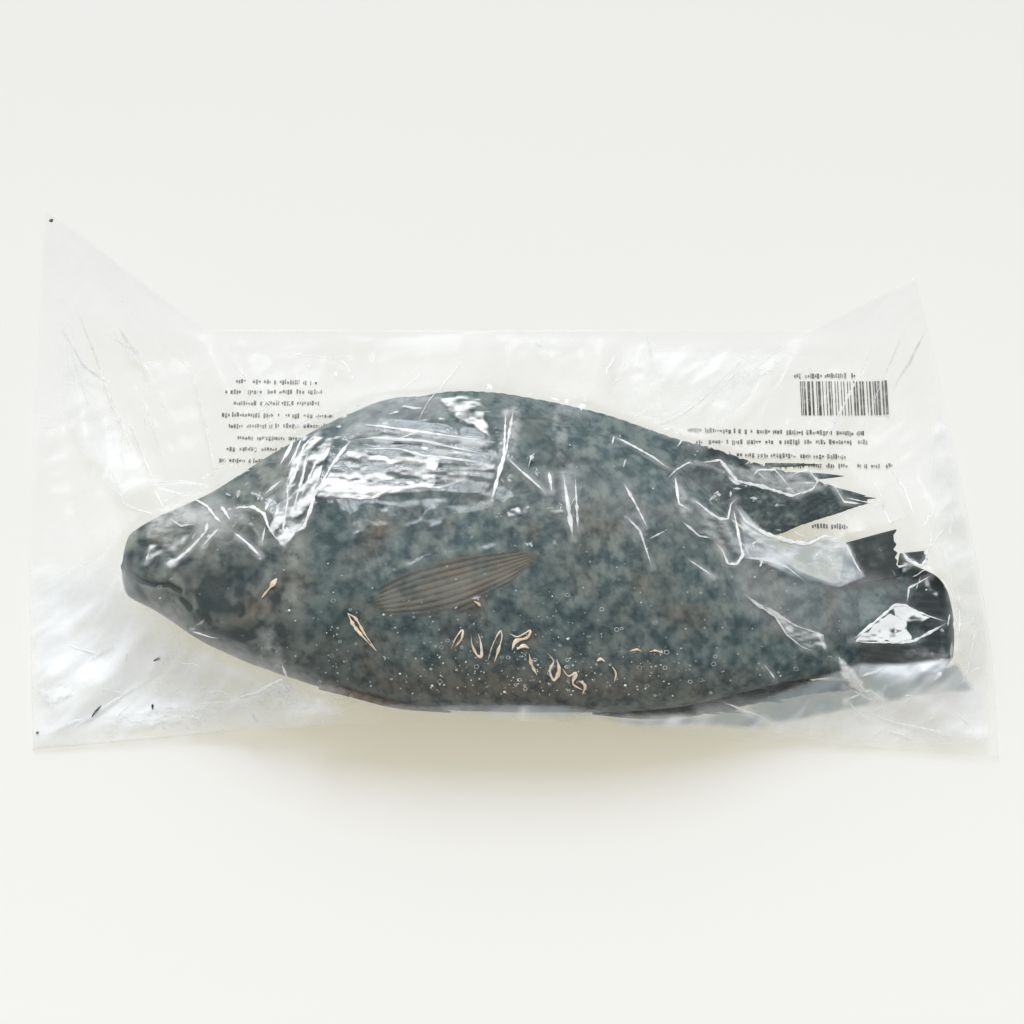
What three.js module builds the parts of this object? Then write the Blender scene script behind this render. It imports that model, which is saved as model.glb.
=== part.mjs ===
// A whole tilapia sealed in a clear film bag, lying on its right side with the left flank up.
// Millimetres, +Z up. The origin is the middle of the bag's plan, on the surface it lies on.
// +X points to the tail and +Y to the fish's back. The bag and what it holds are one closed
// solid: its upper skin is the film drawn over the fish, its lower skin the film it rests on.
import * as THREE from "three";

// ---------------------------------------------------------------- bag
const HALF_LENGTH = 184; // half the bag's length, snout side to tail side
const HALF_WIDTH = 105; // half its width, belly side to back side
const WELD = 1.4; // thickness of the welded edge
const PILLOW = 2.2; // water and air keep the upper film this far off the table
const FILM_GAP = 0.6; // the film lies this far off the fish
const SAG = 0.05; // curvature, 1/mm, of the film where it spans free

// The bag's four edges, each as stations. The two at the back end in raised, pointed corners.
const FRONT_EDGE = { // x, y, z along the belly side
  x: [-176.6, -114, -76, -39, 20, 50, 72, 110, HALF_LENGTH],
  y: [-101.8, -95, -92.4, -91.6, -91.8, -94, -97.3, -99.5, -HALF_WIDTH],
  z: [1, 4, 10, 15, 16, 12, 7, 3, 1],
};
const BACK_EDGE = { // x, y, z along the back side: a straight fold between two drawn-up corners
  x: [-178.8, -119.7, 120.9, 159.5],
  y: [HALF_WIDTH, 68.4, 68.4, 80.2],
  z: [38, 5, 5, 28],
};
const HEAD_EDGE = { // share of the way from front to back, then x and z
  share: [0, 0.18, 0.36, 0.63, 0.85, 1],
  x: [-176.6, -179.7, -182.6, -HALF_LENGTH, -182.6, -178.8],
  z: [1, 3, 4, 7, 20, 38],
};
const TAIL_EDGE = {
  share: [0, 0.24, 0.54, 0.8, 1],
  x: [HALF_LENGTH, 183.2, 177.4, 169.8, 159.5],
  z: [1, 5, 6, 12, 28],
};

// Folds drawn into the upper film: x and y of both ends, and the height of the ridge.
const FOLD_HALF_WIDTH = 9;
const FOLDS = [
  [-180, 104, -126, 6, 5], // from the raised corners towards the fish
  [-176, 96, -158, -16, 3.5],
  [-122, 68, -92, 6, 4],
  [160, 80, 112, 2, 4.5],
  [122, 68, 88, 12, 3.5],
  [164, 64, 172, -30, 3.5],
  [-174, -100, -126, -52, 3.5], // from the lower corners
  [180, -103, 132, -74, 3.5],
  [-158, 8, -124, -14, 3], // round the head
  [-12, 68, -4, 24, 4], // over the back
  [40, 68, 28, 14, 4],
  [-60, 68, -70, 14, 3.5],
  [-100, -98, -82, -78, 2.5],
];

// ---------------------------------------------------------------- fish
const BODY = { // lines of the body, station by station from the snout to the tail's root
  x: [-142.5, -139, -130, -110, -86, -60, -37, 0, 37, 67, 87, 106, 119, 126],
  back: [-35, -26, -17.5, -8, 8, 23, 30, 25, 15, 1, -20, -35.5, -43, -45],
  belly: [-40, -46, -53, -66.5, -77, -85.5, -89.5, -90.5, -90, -86, -80, -73, -69, -68],
  half: [3, 8.5, 13, 17.5, 21, 23, 23.5, 22.5, 19.5, 15.5, 12, 8.8, 6.6, 4.5],
  middle: [23, 23, 23, 23.5, 23.8, 24, 24.2, 24, 23.5, 22.5, 21, 19, 17.6, 17],
};
const SECTION_POWER = 2.3; // 2 is an ellipse, more is boxier

const GILL_COVER = { x: -82, y: -42, radius: 31, squash: 1.18, step: 1.5 };
const MOUTH = { x: -143, y: -37, toX: -123, toY: -45.5, depth: 1.8, halfWidth: 2.6 };
const EYE = { x: -104.7, y: -28.8, radius: 6.5, height: 1.6 };

// Fins lying flat, each between two edges given by stations, with its height above the table.
const DORSAL_FIN = {
  x: [-37, -20, 0, 36, 66, 82, 94, 112, 131, 142],
  upper: [31.5, 33.2, 31.5, 23.7, 13.5, 9.6, 6.3, 1.4, -3.2, -7],
  lower: [29, 24, 19, 8, -6, -19, -24, -18, -11, -7.6],
  z: [27, 27.5, 27.5, 27, 25, 23, 21, 18.5, 16.5, 15.5],
};
const ANAL_FIN = {
  x: [40, 57, 79, 92, 109, 128],
  upper: [-86, -84, -80, -78, -78, -81],
  lower: [-90.5, -92, -92.4, -89, -86, -82.4],
  z: [20, 18, 16, 14.5, 13, 12],
};
const PELVIC_FIN = {
  x: [-78, -62, -40, -20, -4],
  upper: [-78, -79, -82, -86.5, -89.6],
  lower: [-82, -85.5, -89.2, -90.4, -90.6],
  z: [31, 28, 26, 24, 22],
};
const FIN_HALF = 1.8; // half the thickness of a fin at its middle
const PECTORAL_FIN = { x: -48, y: -60, toX: 21, toY: -40, halfWidth: 9.5, height: 2.2 };

const TAIL_FIN = { // a fan from the tail's root, its end folded over by the bag
  rootX: 116, rootY: -56,
  angle: [-32, -20, -8, 8, 24, 38, 52, 66], // degrees, from the belly side to the back side
  reach: [34, 48, 51.5, 51, 50, 49.5, 46, 33],
  rootZ: 17, tipZ: 12, half: 2.4,
  rays: 7, rayHeight: 0.8, // the thickest of its rays
  roll: 4, rollWidth: 11, // its rolled-up end
};

// ---------------------------------------------------------------- mesh
const COLUMNS = 100; // along the bag, and even
const ROWS = 42; // across it, and even
const WELD_COLUMNS = 2; // the welded margin at the head and tail ends
const SWEEPS = 700; // passes that settle the film

const MATERIAL = new THREE.MeshStandardMaterial({
  color: 0x8d9a9d, roughness: 0.18, metalness: 0,
});

const clamp = (v, low, high) => Math.min(high, Math.max(low, v));
const lerp = (a, b, t) => a + (b - a) * t;
const smoothstep = (t) => t * t * (3 - 2 * t);

// The straight line through stations.
function straight(xs, ys) {
  return (x) => {
    let i = 0;
    while (i < xs.length - 2 && x > xs[i + 1]) i++;
    return lerp(ys[i], ys[i + 1], clamp((x - xs[i]) / (xs[i + 1] - xs[i]), 0, 1));
  };
}

// The smooth line through stations: cubics whose slope at a station comes from its neighbours.
function smooth(xs, ys) {
  const last = xs.length - 1;
  const slope = xs.map((_, i) => {
    const [a, b] = [Math.max(i - 1, 0), Math.min(i + 1, last)];
    return (ys[b] - ys[a]) / (xs[b] - xs[a]);
  });
  return (x) => {
    let i = 0;
    while (i < last - 1 && x > xs[i + 1]) i++;
    const span = xs[i + 1] - xs[i];
    const t = clamp((x - xs[i]) / span, 0, 1);
    const rise = smoothstep(t);
    return ys[i] * (1 - rise) + ys[i + 1] * rise
      + span * t * (1 - t) * ((1 - t) * slope[i] - t * slope[i + 1]);
  };
}

// How far along a segment a point lies, from 0 to 1, and how far from it.
function fromSegment(x, y, x0, y0, x1, y1) {
  const [dx, dy] = [x1 - x0, y1 - y0];
  const along = ((x - x0) * dx + (y - y0) * dy) / (dx * dx + dy * dy);
  const t = clamp(along, 0, 1);
  return { along, off: Math.hypot(x - x0 - t * dx, y - y0 - t * dy) };
}

// ---------------------------------------------------------------- the fish as heights
const body = {
  back: smooth(BODY.x, BODY.back),
  belly: smooth(BODY.x, BODY.belly),
  half: smooth(BODY.x, BODY.half),
  middle: smooth(BODY.x, BODY.middle),
};

// Each part of the fish gives its span over a point of the plan, as the height of its middle
// and half its thickness, or null where it isn't.
function bodySpan(x, y) {
  if (x < BODY.x[0] || x > BODY.x.at(-1)) return null;
  const [back, belly] = [body.back(x), body.belly(x)];
  const across = Math.abs((2 * y - back - belly) / (back - belly));
  if (across >= 1) return null;
  const half = body.half(x) * (1 - across ** SECTION_POWER) ** (1 / SECTION_POWER);
  return { middle: body.middle(x), half };
}

// The gill cover swells towards its free edge, an arc, and ends there in a step.
function gillCover(x, y) {
  const { radius, squash, step } = GILL_COVER;
  const r = Math.hypot(x - GILL_COVER.x, (y - GILL_COVER.y) / squash) / radius;
  return r < 1 ? (step * r * Math.max(x - GILL_COVER.x, 0)) / radius : 0;
}

function mouth(x, y) {
  const { off } = fromSegment(x, y, MOUTH.x, MOUTH.y, MOUTH.toX, MOUTH.toY);
  return -MOUTH.depth * clamp(1 - off / MOUTH.halfWidth, 0, 1);
}

function eye(x, y) {
  const r = Math.hypot(x - EYE.x, y - EYE.y) / EYE.radius;
  return EYE.height * Math.sqrt(clamp(1 - r * r, 0, 1));
}

// The long fin on the flank, a leaf that is widest near its root and ends in a point.
function pectoralFin(x, y) {
  const f = PECTORAL_FIN;
  const { along, off } = fromSegment(x, y, f.x, f.y, f.toX, f.toY);
  if (along < 0 || along > 1) return 0;
  const width = f.halfWidth * Math.sin(Math.PI * Math.sqrt(along)) + 1;
  return f.height * Math.sqrt(clamp(1 - (off / width) ** 2, 0, 1));
}

// A fin lying flat beside the body.
function flatFin(fin) {
  const [upper, lower] = [smooth(fin.x, fin.upper), smooth(fin.x, fin.lower)];
  const middle = smooth(fin.x, fin.z);
  return (x, y) => {
    if (x < fin.x[0] || x > fin.x.at(-1)) return null;
    const across = (2 * y - upper(x) - lower(x)) / (upper(x) - lower(x));
    if (Math.abs(across) > 1) return null;
    return { middle: middle(x), half: FIN_HALF * Math.sqrt(1 - across * across) };
  };
}

const tailReach = smooth(TAIL_FIN.angle, TAIL_FIN.reach);

function tailFin(x, y) {
  const f = TAIL_FIN;
  const angle = THREE.MathUtils.radToDeg(Math.atan2(y - f.rootY, x - f.rootX));
  if (angle < f.angle[0] || angle > f.angle.at(-1)) return null;
  const r = Math.hypot(x - f.rootX, y - f.rootY);
  const reach = tailReach(angle);
  if (r > reach) return null;
  const toRoll = (r - reach + f.rollWidth / 2) / (f.rollWidth / 2);
  const rolled = f.roll * Math.sqrt(clamp(1 - toRoll * toRoll, 0, 1));
  const share = (angle - f.angle[0]) / (f.angle.at(-1) - f.angle[0]);
  const ray = f.rayHeight * Math.cos(2 * Math.PI * share * f.rays);
  const taper = Math.sqrt(Math.sin(Math.PI * share));
  return { middle: lerp(f.rootZ, f.tipZ, r / reach), half: (f.half + rolled + ray) * taper };
}

const fishParts = [
  bodySpan, flatFin(DORSAL_FIN), flatFin(ANAL_FIN), flatFin(PELVIC_FIN), tailFin,
];

// The highest and lowest point of the whole fish over a point of the plan, or null beside it.
function fishSpan(x, y) {
  const spans = fishParts.map((part) => part(x, y)).filter(Boolean);
  if (!spans.length) return null;
  const relief = gillCover(x, y) + mouth(x, y) + eye(x, y) + pectoralFin(x, y);
  return {
    top: Math.max(...spans.map(({ middle, half }) => middle + half)) + relief,
    bottom: Math.min(...spans.map(({ middle, half }) => middle - half)),
  };
}

// ---------------------------------------------------------------- the film
const edge = {
  frontY: smooth(FRONT_EDGE.x, FRONT_EDGE.y),
  frontZ: smooth(FRONT_EDGE.x, FRONT_EDGE.z),
  backY: straight(BACK_EDGE.x, BACK_EDGE.y),
  backZ: straight(BACK_EDGE.x, BACK_EDGE.z),
  headX: smooth(HEAD_EDGE.share, HEAD_EDGE.x),
  headZ: smooth(HEAD_EDGE.share, HEAD_EDGE.z),
  tailX: smooth(TAIL_EDGE.share, TAIL_EDGE.x),
  tailZ: smooth(TAIL_EDGE.share, TAIL_EDGE.z),
};

// The plan position of grid point (i, j): straight lines join the head and tail edges, and
// are spread between the front and back edges.
function planPoint(i, j) {
  const [s, t] = [i / COLUMNS, j / ROWS];
  const frontX = lerp(HEAD_EDGE.x[0], TAIL_EDGE.x[0], s);
  const backX = lerp(HEAD_EDGE.x.at(-1), TAIL_EDGE.x.at(-1), s);
  return {
    x: lerp(edge.headX(t), edge.tailX(t), s),
    y: lerp(edge.frontY(frontX), edge.backY(backX), t),
  };
}

// The height of the welded edge at a grid point on the boundary.
function edgeHeight(i, j) {
  const [s, t] = [i / COLUMNS, j / ROWS];
  if (j === 0) return edge.frontZ(lerp(HEAD_EDGE.x[0], TAIL_EDGE.x[0], s));
  if (j === ROWS) return edge.backZ(lerp(HEAD_EDGE.x.at(-1), TAIL_EDGE.x.at(-1), s));
  return i === 0 ? edge.headZ(t) : edge.tailZ(t);
}

const at = (i, j) => j * (COLUMNS + 1) + i;
const onEdge = (i, j) => i === 0 || j === 0 || i === COLUMNS || j === ROWS;
const onWeld = (i) => i <= WELD_COLUMNS || i >= COLUMNS - WELD_COLUMNS;

const plan = [];
for (let j = 0; j <= ROWS; j++) {
  for (let i = 0; i <= COLUMNS; i++) plan.push(planPoint(i, j));
}

// Settles a film: each point moves to the weighted mean of its neighbours less the sag, and
// is then held between what lies under it and what lies over it.
function settle(heights, under, over) {
  for (let sweep = 0; sweep < SWEEPS; sweep++) {
    for (const [k, neighbours] of inner) {
      let [sum, weights] = [-SAG, 0];
      for (const [other, weight] of neighbours) {
        sum += heights[other] * weight;
        weights += weight;
      }
      heights[k] = clamp(sum / weights, under[k], over[k]);
    }
  }
}

// The grid points inside the edge, each with its four neighbours and their weights.
const inner = [];
for (let j = 1; j < ROWS; j++) {
  for (let i = 1; i < COLUMNS; i++) {
    const p = plan[at(i, j)];
    const neighbours = [at(i + 1, j), at(i - 1, j), at(i, j + 1), at(i, j - 1)];
    const weigh = (k) => [k, (plan[k].x - p.x) ** 2 + (plan[k].y - p.y) ** 2];
    inner.push([at(i, j), neighbours.map(weigh).map(([k, square]) => [k, 1 / square])]);
  }
}

// How far the folds lift the film at a point of the plan.
function folds(x, y) {
  let height = 0;
  for (const [x0, y0, x1, y1, ridge] of FOLDS) {
    const { along, off } = fromSegment(x, y, x0, y0, x1, y1);
    const fade = Math.sin(Math.PI * clamp(along, 0, 1));
    const rise = smoothstep(clamp(1 - off / FOLD_HALF_WIDTH, 0, 1));
    height = Math.max(height, ridge * fade * rise);
  }
  return height;
}

// Both films as heights over the grid.
function films() {
  const fish = plan.map(({ x, y }) => fishSpan(x, y));
  const upper = new Float64Array(plan.length).fill(PILLOW);
  const lower = new Float64Array(plan.length);
  for (let j = 0; j <= ROWS; j++) {
    for (let i = 0; i <= COLUMNS; i++) {
      if (!onEdge(i, j)) continue;
      upper[at(i, j)] = edgeHeight(i, j) + WELD / 2;
      lower[at(i, j)] = Math.max(edgeHeight(i, j) - WELD / 2, 0);
    }
  }
  const over = fish.map((f) => (f ? Math.max(f.bottom - FILM_GAP, 0) : Infinity));
  settle(upper, fish.map((f) => (f ? f.top + FILM_GAP : PILLOW)), fish.map(() => Infinity));
  settle(lower, fish.map(() => 0), over);
  plan.forEach(({ x, y }, k) => {
    const [i, j] = [k % (COLUMNS + 1), Math.floor(k / (COLUMNS + 1))];
    if (!onEdge(i, j)) upper[k] += folds(x, y);
    lower[k] = clamp(onWeld(i) ? upper[k] - WELD : lower[k], 0, upper[k] - WELD);
  });
  return { upper, lower };
}

// ---------------------------------------------------------------- the solid
// The upper skin takes every grid point, the lower skin every second one, and a rim of
// triangles joins the two along the welded edge.
function bagGeometry() {
  const { upper, lower } = films();
  const positions = [];
  const place = (k, height) => positions.push(plan[k].x, plan[k].y, height) / 3 - 1;
  const upperAt = plan.map((_, k) => place(k, upper[k]));
  const lowerPoints = [...new Set(cells(2).flat())];
  const lowerAt = new Map(lowerPoints.map((k) => [k, place(k, lower[k])]));

  const index = [];
  for (const cell of cells(1)) {
    const [a, b, c, d] = cell.map((k) => upperAt[k]);
    const [za, zb, zc, zd] = cell.map((k) => upper[k]);
    const alongRidge = Math.abs(za - zc) < Math.abs(zb - zd);
    index.push(...(alongRidge ? [a, b, c, a, c, d] : [a, b, d, b, c, d]));
  }
  for (const cell of cells(2)) {
    const [a, b, c, d] = cell.map((k) => lowerAt.get(k));
    index.push(a, c, b, a, d, c);
  }
  for (const [from, middle, to] of rimSteps()) {
    index.push(lowerAt.get(from), upperAt[middle], upperAt[from]);
    index.push(lowerAt.get(from), lowerAt.get(to), upperAt[middle]);
    index.push(lowerAt.get(to), upperAt[to], upperAt[middle]);
  }
  return new THREE.BufferGeometry()
    .setAttribute("position", new THREE.Float32BufferAttribute(positions, 3))
    .setIndex(index);
}

// The grid's cells that many points wide, each as its four corners anticlockwise from above.
function cells(step) {
  const corners = [];
  for (let j = 0; j < ROWS; j += step) {
    for (let i = 0; i < COLUMNS; i += step) {
      corners.push([at(i, j), at(i + step, j), at(i + step, j + step), at(i, j + step)]);
    }
  }
  return corners;
}

// The welded edge in steps of two grid points, anticlockwise seen from above.
function rimSteps() {
  const ring = [];
  for (let i = 0; i < COLUMNS; i++) ring.push(at(i, 0));
  for (let j = 0; j < ROWS; j++) ring.push(at(COLUMNS, j));
  for (let i = COLUMNS; i > 0; i--) ring.push(at(i, ROWS));
  for (let j = ROWS; j > 0; j--) ring.push(at(0, j));
  const steps = [];
  for (let k = 0; k < ring.length; k += 2) {
    steps.push([ring[k], ring[k + 1], ring[(k + 2) % ring.length]]);
  }
  return steps;
}

const geometry = bagGeometry();
geometry.computeVertexNormals();

const bag = new THREE.Mesh(geometry, MATERIAL);
bag.name = "clear_bag";

const pack = new THREE.Group();
pack.add(bag);

export default pack;
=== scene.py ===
import math

import bpy
import numpy as np
from mathutils import Matrix, Vector


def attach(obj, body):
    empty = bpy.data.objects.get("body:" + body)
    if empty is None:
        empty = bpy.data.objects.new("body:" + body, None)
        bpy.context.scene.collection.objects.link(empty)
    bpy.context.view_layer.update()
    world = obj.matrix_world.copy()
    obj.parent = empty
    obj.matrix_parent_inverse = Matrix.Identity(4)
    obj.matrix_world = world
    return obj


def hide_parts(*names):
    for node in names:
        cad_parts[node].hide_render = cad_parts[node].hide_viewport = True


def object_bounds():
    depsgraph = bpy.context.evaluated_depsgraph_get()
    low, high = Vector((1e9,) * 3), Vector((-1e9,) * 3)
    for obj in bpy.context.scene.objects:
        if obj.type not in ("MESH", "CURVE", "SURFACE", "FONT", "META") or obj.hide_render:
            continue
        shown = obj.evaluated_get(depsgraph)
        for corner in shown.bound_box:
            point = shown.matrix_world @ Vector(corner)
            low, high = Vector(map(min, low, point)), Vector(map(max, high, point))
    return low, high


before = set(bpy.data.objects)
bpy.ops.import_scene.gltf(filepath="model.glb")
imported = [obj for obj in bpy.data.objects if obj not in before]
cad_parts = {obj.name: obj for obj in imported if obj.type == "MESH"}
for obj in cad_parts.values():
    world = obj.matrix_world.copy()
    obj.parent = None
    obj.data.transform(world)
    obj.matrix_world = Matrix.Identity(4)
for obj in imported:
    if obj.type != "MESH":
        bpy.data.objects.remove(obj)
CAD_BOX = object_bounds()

MM = 0.001
BAG = "clear_bag"
HALF_LENGTH = (CAD_BOX[1][0] - CAD_BOX[0][0]) / 2 / MM
HALF_WIDTH = (CAD_BOX[1][1] - CAD_BOX[0][1]) / 2 / MM

# ---------------------------------------------------------------- the bag's edges
FRONT_EDGE = {
    "x": [-176.6, -114, -76, -39, 20, 50, 72, 110, HALF_LENGTH],
    "y": [-101.8, -96.6, -95.2, -94.8, -94.8, -96.2, -98, -99.5, -HALF_WIDTH],
    "z": [1, 4, 10, 15, 16, 12, 7, 3, 1],
}
BACK_EDGE = {
    "x": [-178.8, -119.7, 120.9, 159.5],
    "y": [HALF_WIDTH, 68.4, 68.4, 80.2],
    "z": [38, 5, 5, 28],
}
HEAD_EDGE = {
    "share": [0, 0.18, 0.36, 0.63, 0.85, 1],
    "x": [-176.6, -179.7, -182.6, -HALF_LENGTH, -182.6, -178.8],
    "z": [1, 3, 4, 7, 20, 38],
}
TAIL_EDGE = {
    "share": [0, 0.24, 0.54, 0.8, 1],
    "x": [HALF_LENGTH, 183.2, 177.4, 169.8, 159.5],
    "z": [1, 5, 6, 12, 28],
}

# ---------------------------------------------------------------- the fish's lines
BODY = {
    "x": [-144, -140, -130, -110, -86, -60, -37, 0, 37, 67, 87, 106, 119, 126, 133],
    "back": [-28, -23.5, -17.2, -8, 8, 23, 30, 25, 15, 1, -20, -35, -41, -42.5, -43],
    "belly": [-45.5, -49, -54, -66.5, -77, -86, -90.8, -92.4, -92.4, -90, -84.8, -79.8, -78, -77.6, -76.5],
    "half": [3, 8.5, 13, 17.5, 21, 23, 23.5, 22.5, 19.5, 15.5, 12, 8.8, 6.2, 3.6, 0.8],
    "middle": [23, 23, 23, 23.5, 23.8, 24, 24.2, 24, 23.5, 22.5, 21, 19, 17.6, 16.8, 15.5],
}
SECTION_POWER = 2.3
NOSE = 3.0  # over this length the snout rounds off
EYE = {"x": -101.5, "y": -31, "radius": 5.2, "radii": (5.0, 4.6, 2.3), "sunk": 2.1}
GILL_COVER = {"x": -86, "y": -42, "reach": 32, "squash": 1.22, "step": 1.0}
CHEEK = {"x": -106, "y": -42, "reach": 26, "squash": 1.15, "step": 0.9}


# ---------------------------------------------------------------- the view and the light
ELEVATION, DISTANCE, LENS, SENSOR, IMAGE = math.radians(70), 864.7, 80, 36, 1024
TARGET = np.array([2.4, -13.3, 18])
CAMERA = TARGET + DISTANCE * np.array([0, -math.cos(ELEVATION), math.sin(ELEVATION)])
LAMP = 3450 * np.array([-0.085, 0.64, 0.76])


def seen_at(pixels, heights):
    """Where the rays through these pixels of the picture meet a surface: the point at a height,
    the surface's height there, and so on until both agree."""
    pixels = np.array(pixels, float)
    across, up = ((pixels - IMAGE / 2) * [1, -1] * SENSOR / LENS / IMAGE).T
    ahead, down = math.cos(ELEVATION), math.sin(ELEVATION)
    z = np.full(len(pixels), 30.0)
    for _ in range(12):
        reach = (z - CAMERA[2]) / (ahead * up - down)
        x, y = reach * across + CAMERA[0], CAMERA[1] + reach * (ahead + down * up)
        level = heights(x, y)
        z = lerp(z, np.where(np.isfinite(level), level, 2), 0.7)
    return np.stack([x, y], -1)


# ---------------------------------------------------------------- sums on arrays
def ease(t):
    """t squared times (3 - 2t): level at 0 and at 1."""
    return t * t * (3 - 2 * t)


def ramp(t):
    """Eased from 0 to 1 as t goes from 0 to 1, and level beyond."""
    return ease(np.clip(t, 0, 1))


def lerp(a, b, t):
    """The point t of the way from a to b."""
    return a + (b - a) * t


def smooth(xs, ys):
    """The smooth line through stations: cubics whose slope at a station is the slope between
    its two neighbours."""
    xs, ys = np.asarray(xs, float), np.asarray(ys, float)
    station = np.arange(len(xs))
    before, after = np.maximum(station - 1, 0), np.minimum(station + 1, len(xs) - 1)
    slope = (ys[after] - ys[before]) / (xs[after] - xs[before])

    def line(x):
        i = np.clip(np.searchsorted(xs, x, side="right") - 1, 0, len(xs) - 2)
        span = xs[i + 1] - xs[i]
        t = np.clip((x - xs[i]) / span, 0, 1)
        bend = span * t * (1 - t) * ((1 - t) * slope[i] - t * slope[i + 1])
        return lerp(ys[i], ys[i + 1], ease(t)) + bend

    return line


def straight(xs, ys):
    """The broken line through stations."""
    return lambda x: np.interp(x, xs, ys)


def from_segment(x, y, x0, y0, x1, y1):
    """How far along a segment each point lies, from 0 to 1, and how far off it."""
    dx, dy = x1 - x0, y1 - y0
    along = ((x - x0) * dx + (y - y0) * dy) / (dx * dx + dy * dy)
    t = np.clip(along, 0, 1)
    return along, np.hypot(x - x0 - t * dx, y - y0 - t * dy)


def off_line(x, y, corners):
    """How far each point is from a broken line."""
    return np.min([from_segment(x, y, *start, *end)[1]
                   for start, end in zip(corners[:-1], corners[1:])], axis=0)


LATTICE = 64  # random tables repeat after this many cells


def lattice_corners(u, v, seed):
    """The cell of a random square lattice that each point is in: the values at its four
    corners, and the point's place in the cell."""
    table = np.random.default_rng(seed).uniform(-1, 1, (LATTICE, LATTICE))
    i, j = np.floor(u).astype(int), np.floor(v).astype(int)
    corners = [table[(i + di) % LATTICE, (j + dj) % LATTICE] for dj in (0, 1) for di in (0, 1)]
    return corners, u - i, v - j


def noise(x, y, size, seed):
    """Soft lumps of the given size, from -1 to 1: lattice values eased from corner to corner."""
    (h00, h10, h01, h11), a, b = lattice_corners(x / size, y / size, seed)
    return lerp(lerp(h00, h10, ease(a)), lerp(h01, h11, ease(a)), ease(b))


def facets(x, y, size, seed, stretch, turn):
    """Flat triangles that meet in creases, from -1 to 1: each lattice cell is cut along its
    diagonal, and each half is the plane through its three corners. The lattice is turned by an
    angle and stretched along it, and slow noise bends it."""
    bent_x = x + 0.35 * size * noise(x, y, 2.3 * size, seed + 1)
    bent_y = y + 0.35 * size * noise(x, y, 2.3 * size, seed + 2)
    c, s = math.cos(turn), math.sin(turn)
    u, v = (bent_x * c + bent_y * s) / (size * stretch), (bent_y * c - bent_x * s) / size
    (h00, h10, h01, h11), a, b = lattice_corners(u + 0.5 * v, v, seed)
    near = h00 + a * (h10 - h00) + b * (h01 - h00)
    far = h11 + (1 - a) * (h01 - h11) + (1 - b) * (h10 - h11)
    return np.where(a + b < 1, near, far)


def spot(x, y, cx, cy, rx, ry, turn=0.0):
    """A soft spot: 1 at its centre, falling as a bell over its two radii."""
    c, s = math.cos(turn), math.sin(turn)
    u, v = (x - cx) * c + (y - cy) * s, (y - cy) * c - (x - cx) * s
    return np.exp(-((u / rx) ** 2) - (v / ry) ** 2)


def spots(x, y, marks):
    """The sum of soft spots, each given by its strength, centre, two radii and turn."""
    return sum(strength * spot(x, y, *place) for strength, *place in marks)


def patches(x, y, size, seed, level):
    """How far soft noise stands above a level; 0 elsewhere."""
    return np.clip(noise(x, y, size, seed) - level, 0, 1)


# ---------------------------------------------------------------- meshes
def grid_quads(rows, columns, wrap=False):
    """The quads of a grid stored row by row; wrap joins the last column to the first."""
    row, column = np.meshgrid(np.arange(rows - 1), np.arange(columns - 1 + wrap), indexing="ij")
    a, b = row * columns + column, row * columns + (column + 1) % columns
    return np.stack([a, b, b + columns, a + columns], -1).reshape(-1, 4)


def grid_rim(rows, columns):
    """The outline of a grid as point numbers, anticlockwise with rows going up."""
    number = np.arange(rows * columns).reshape(rows, columns)
    return np.concatenate([number[0, :-1], number[:-1, -1], number[-1, :0:-1], number[:0:-1, 0]])


def pole_fans(rings, around):
    """Triangles that close a wrapped grid of rings at its two ends, to two poles stored after it."""
    ring, count = np.arange(around), rings * around
    after, last = (ring + 1) % around, count - around
    return np.concatenate([np.stack([0 * ring + count, after, ring], -1),
                           np.stack([0 * ring + count + 1, ring + last, after + last], -1)])


def closed_sheet(points, thickness):
    """A sheet with a face on each side: its grid of points lifted and lowered by half the
    thickness, and the two joined by a wall round the rim."""
    rows, columns = points.shape[:2]
    lift = np.zeros(points.shape)
    lift[..., 2] = np.broadcast_to(thickness, points.shape[:2]) / 2
    both = np.concatenate([(points + lift).reshape(-1, 3), (points - lift).reshape(-1, 3)])
    quads, rim, count = grid_quads(rows, columns), grid_rim(rows, columns), rows * columns
    after = np.roll(rim, -1)
    wall = np.stack([rim + count, after + count, after, rim], -1)
    return both, np.concatenate([quads, quads[:, ::-1] + count, wall])


def both_faces(layer):
    """A sheet's layer, given once for each of its two faces."""
    return np.concatenate([layer.ravel()] * 2)


def joined(shapes):
    """Several (points, faces) shapes as one."""
    starts = np.cumsum([0] + [len(points) for points, _ in shapes[:-1]])
    faces = [quads + start for (_, quads), start in zip(shapes, starts)]
    return np.concatenate([points for points, _ in shapes]), np.concatenate(faces)


def make_piece(name, points, faces, material, slot, **layers):
    """A mesh piece from points in millimetres; a layer is one number a point, kept as an
    attribute of that name for the material to read. A list of materials has one a face group."""
    mesh = bpy.data.meshes.new(name)
    mesh.from_pydata((points * MM).tolist(), [], [face for group in faces for face in group.tolist()])
    for layer, values in layers.items():
        data = mesh.attributes.new(layer, "FLOAT", "POINT").data
        data.foreach_set("value", np.asarray(values, np.float32).ravel())
    mesh.shade_smooth()
    materials = material if isinstance(material, list) else [material] * len(faces)
    for kind in dict.fromkeys(materials):
        mesh.materials.append(kind)
    number = [np.full(len(group), mesh.materials.find(kind.name)) for group, kind in zip(faces, materials)]
    mesh.polygons.foreach_set("material_index", np.concatenate(number).astype(np.int32))
    piece = bpy.data.objects.new(name, mesh)
    bpy.context.scene.collection.objects.link(piece)
    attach(piece, "root")
    return piece


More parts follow.
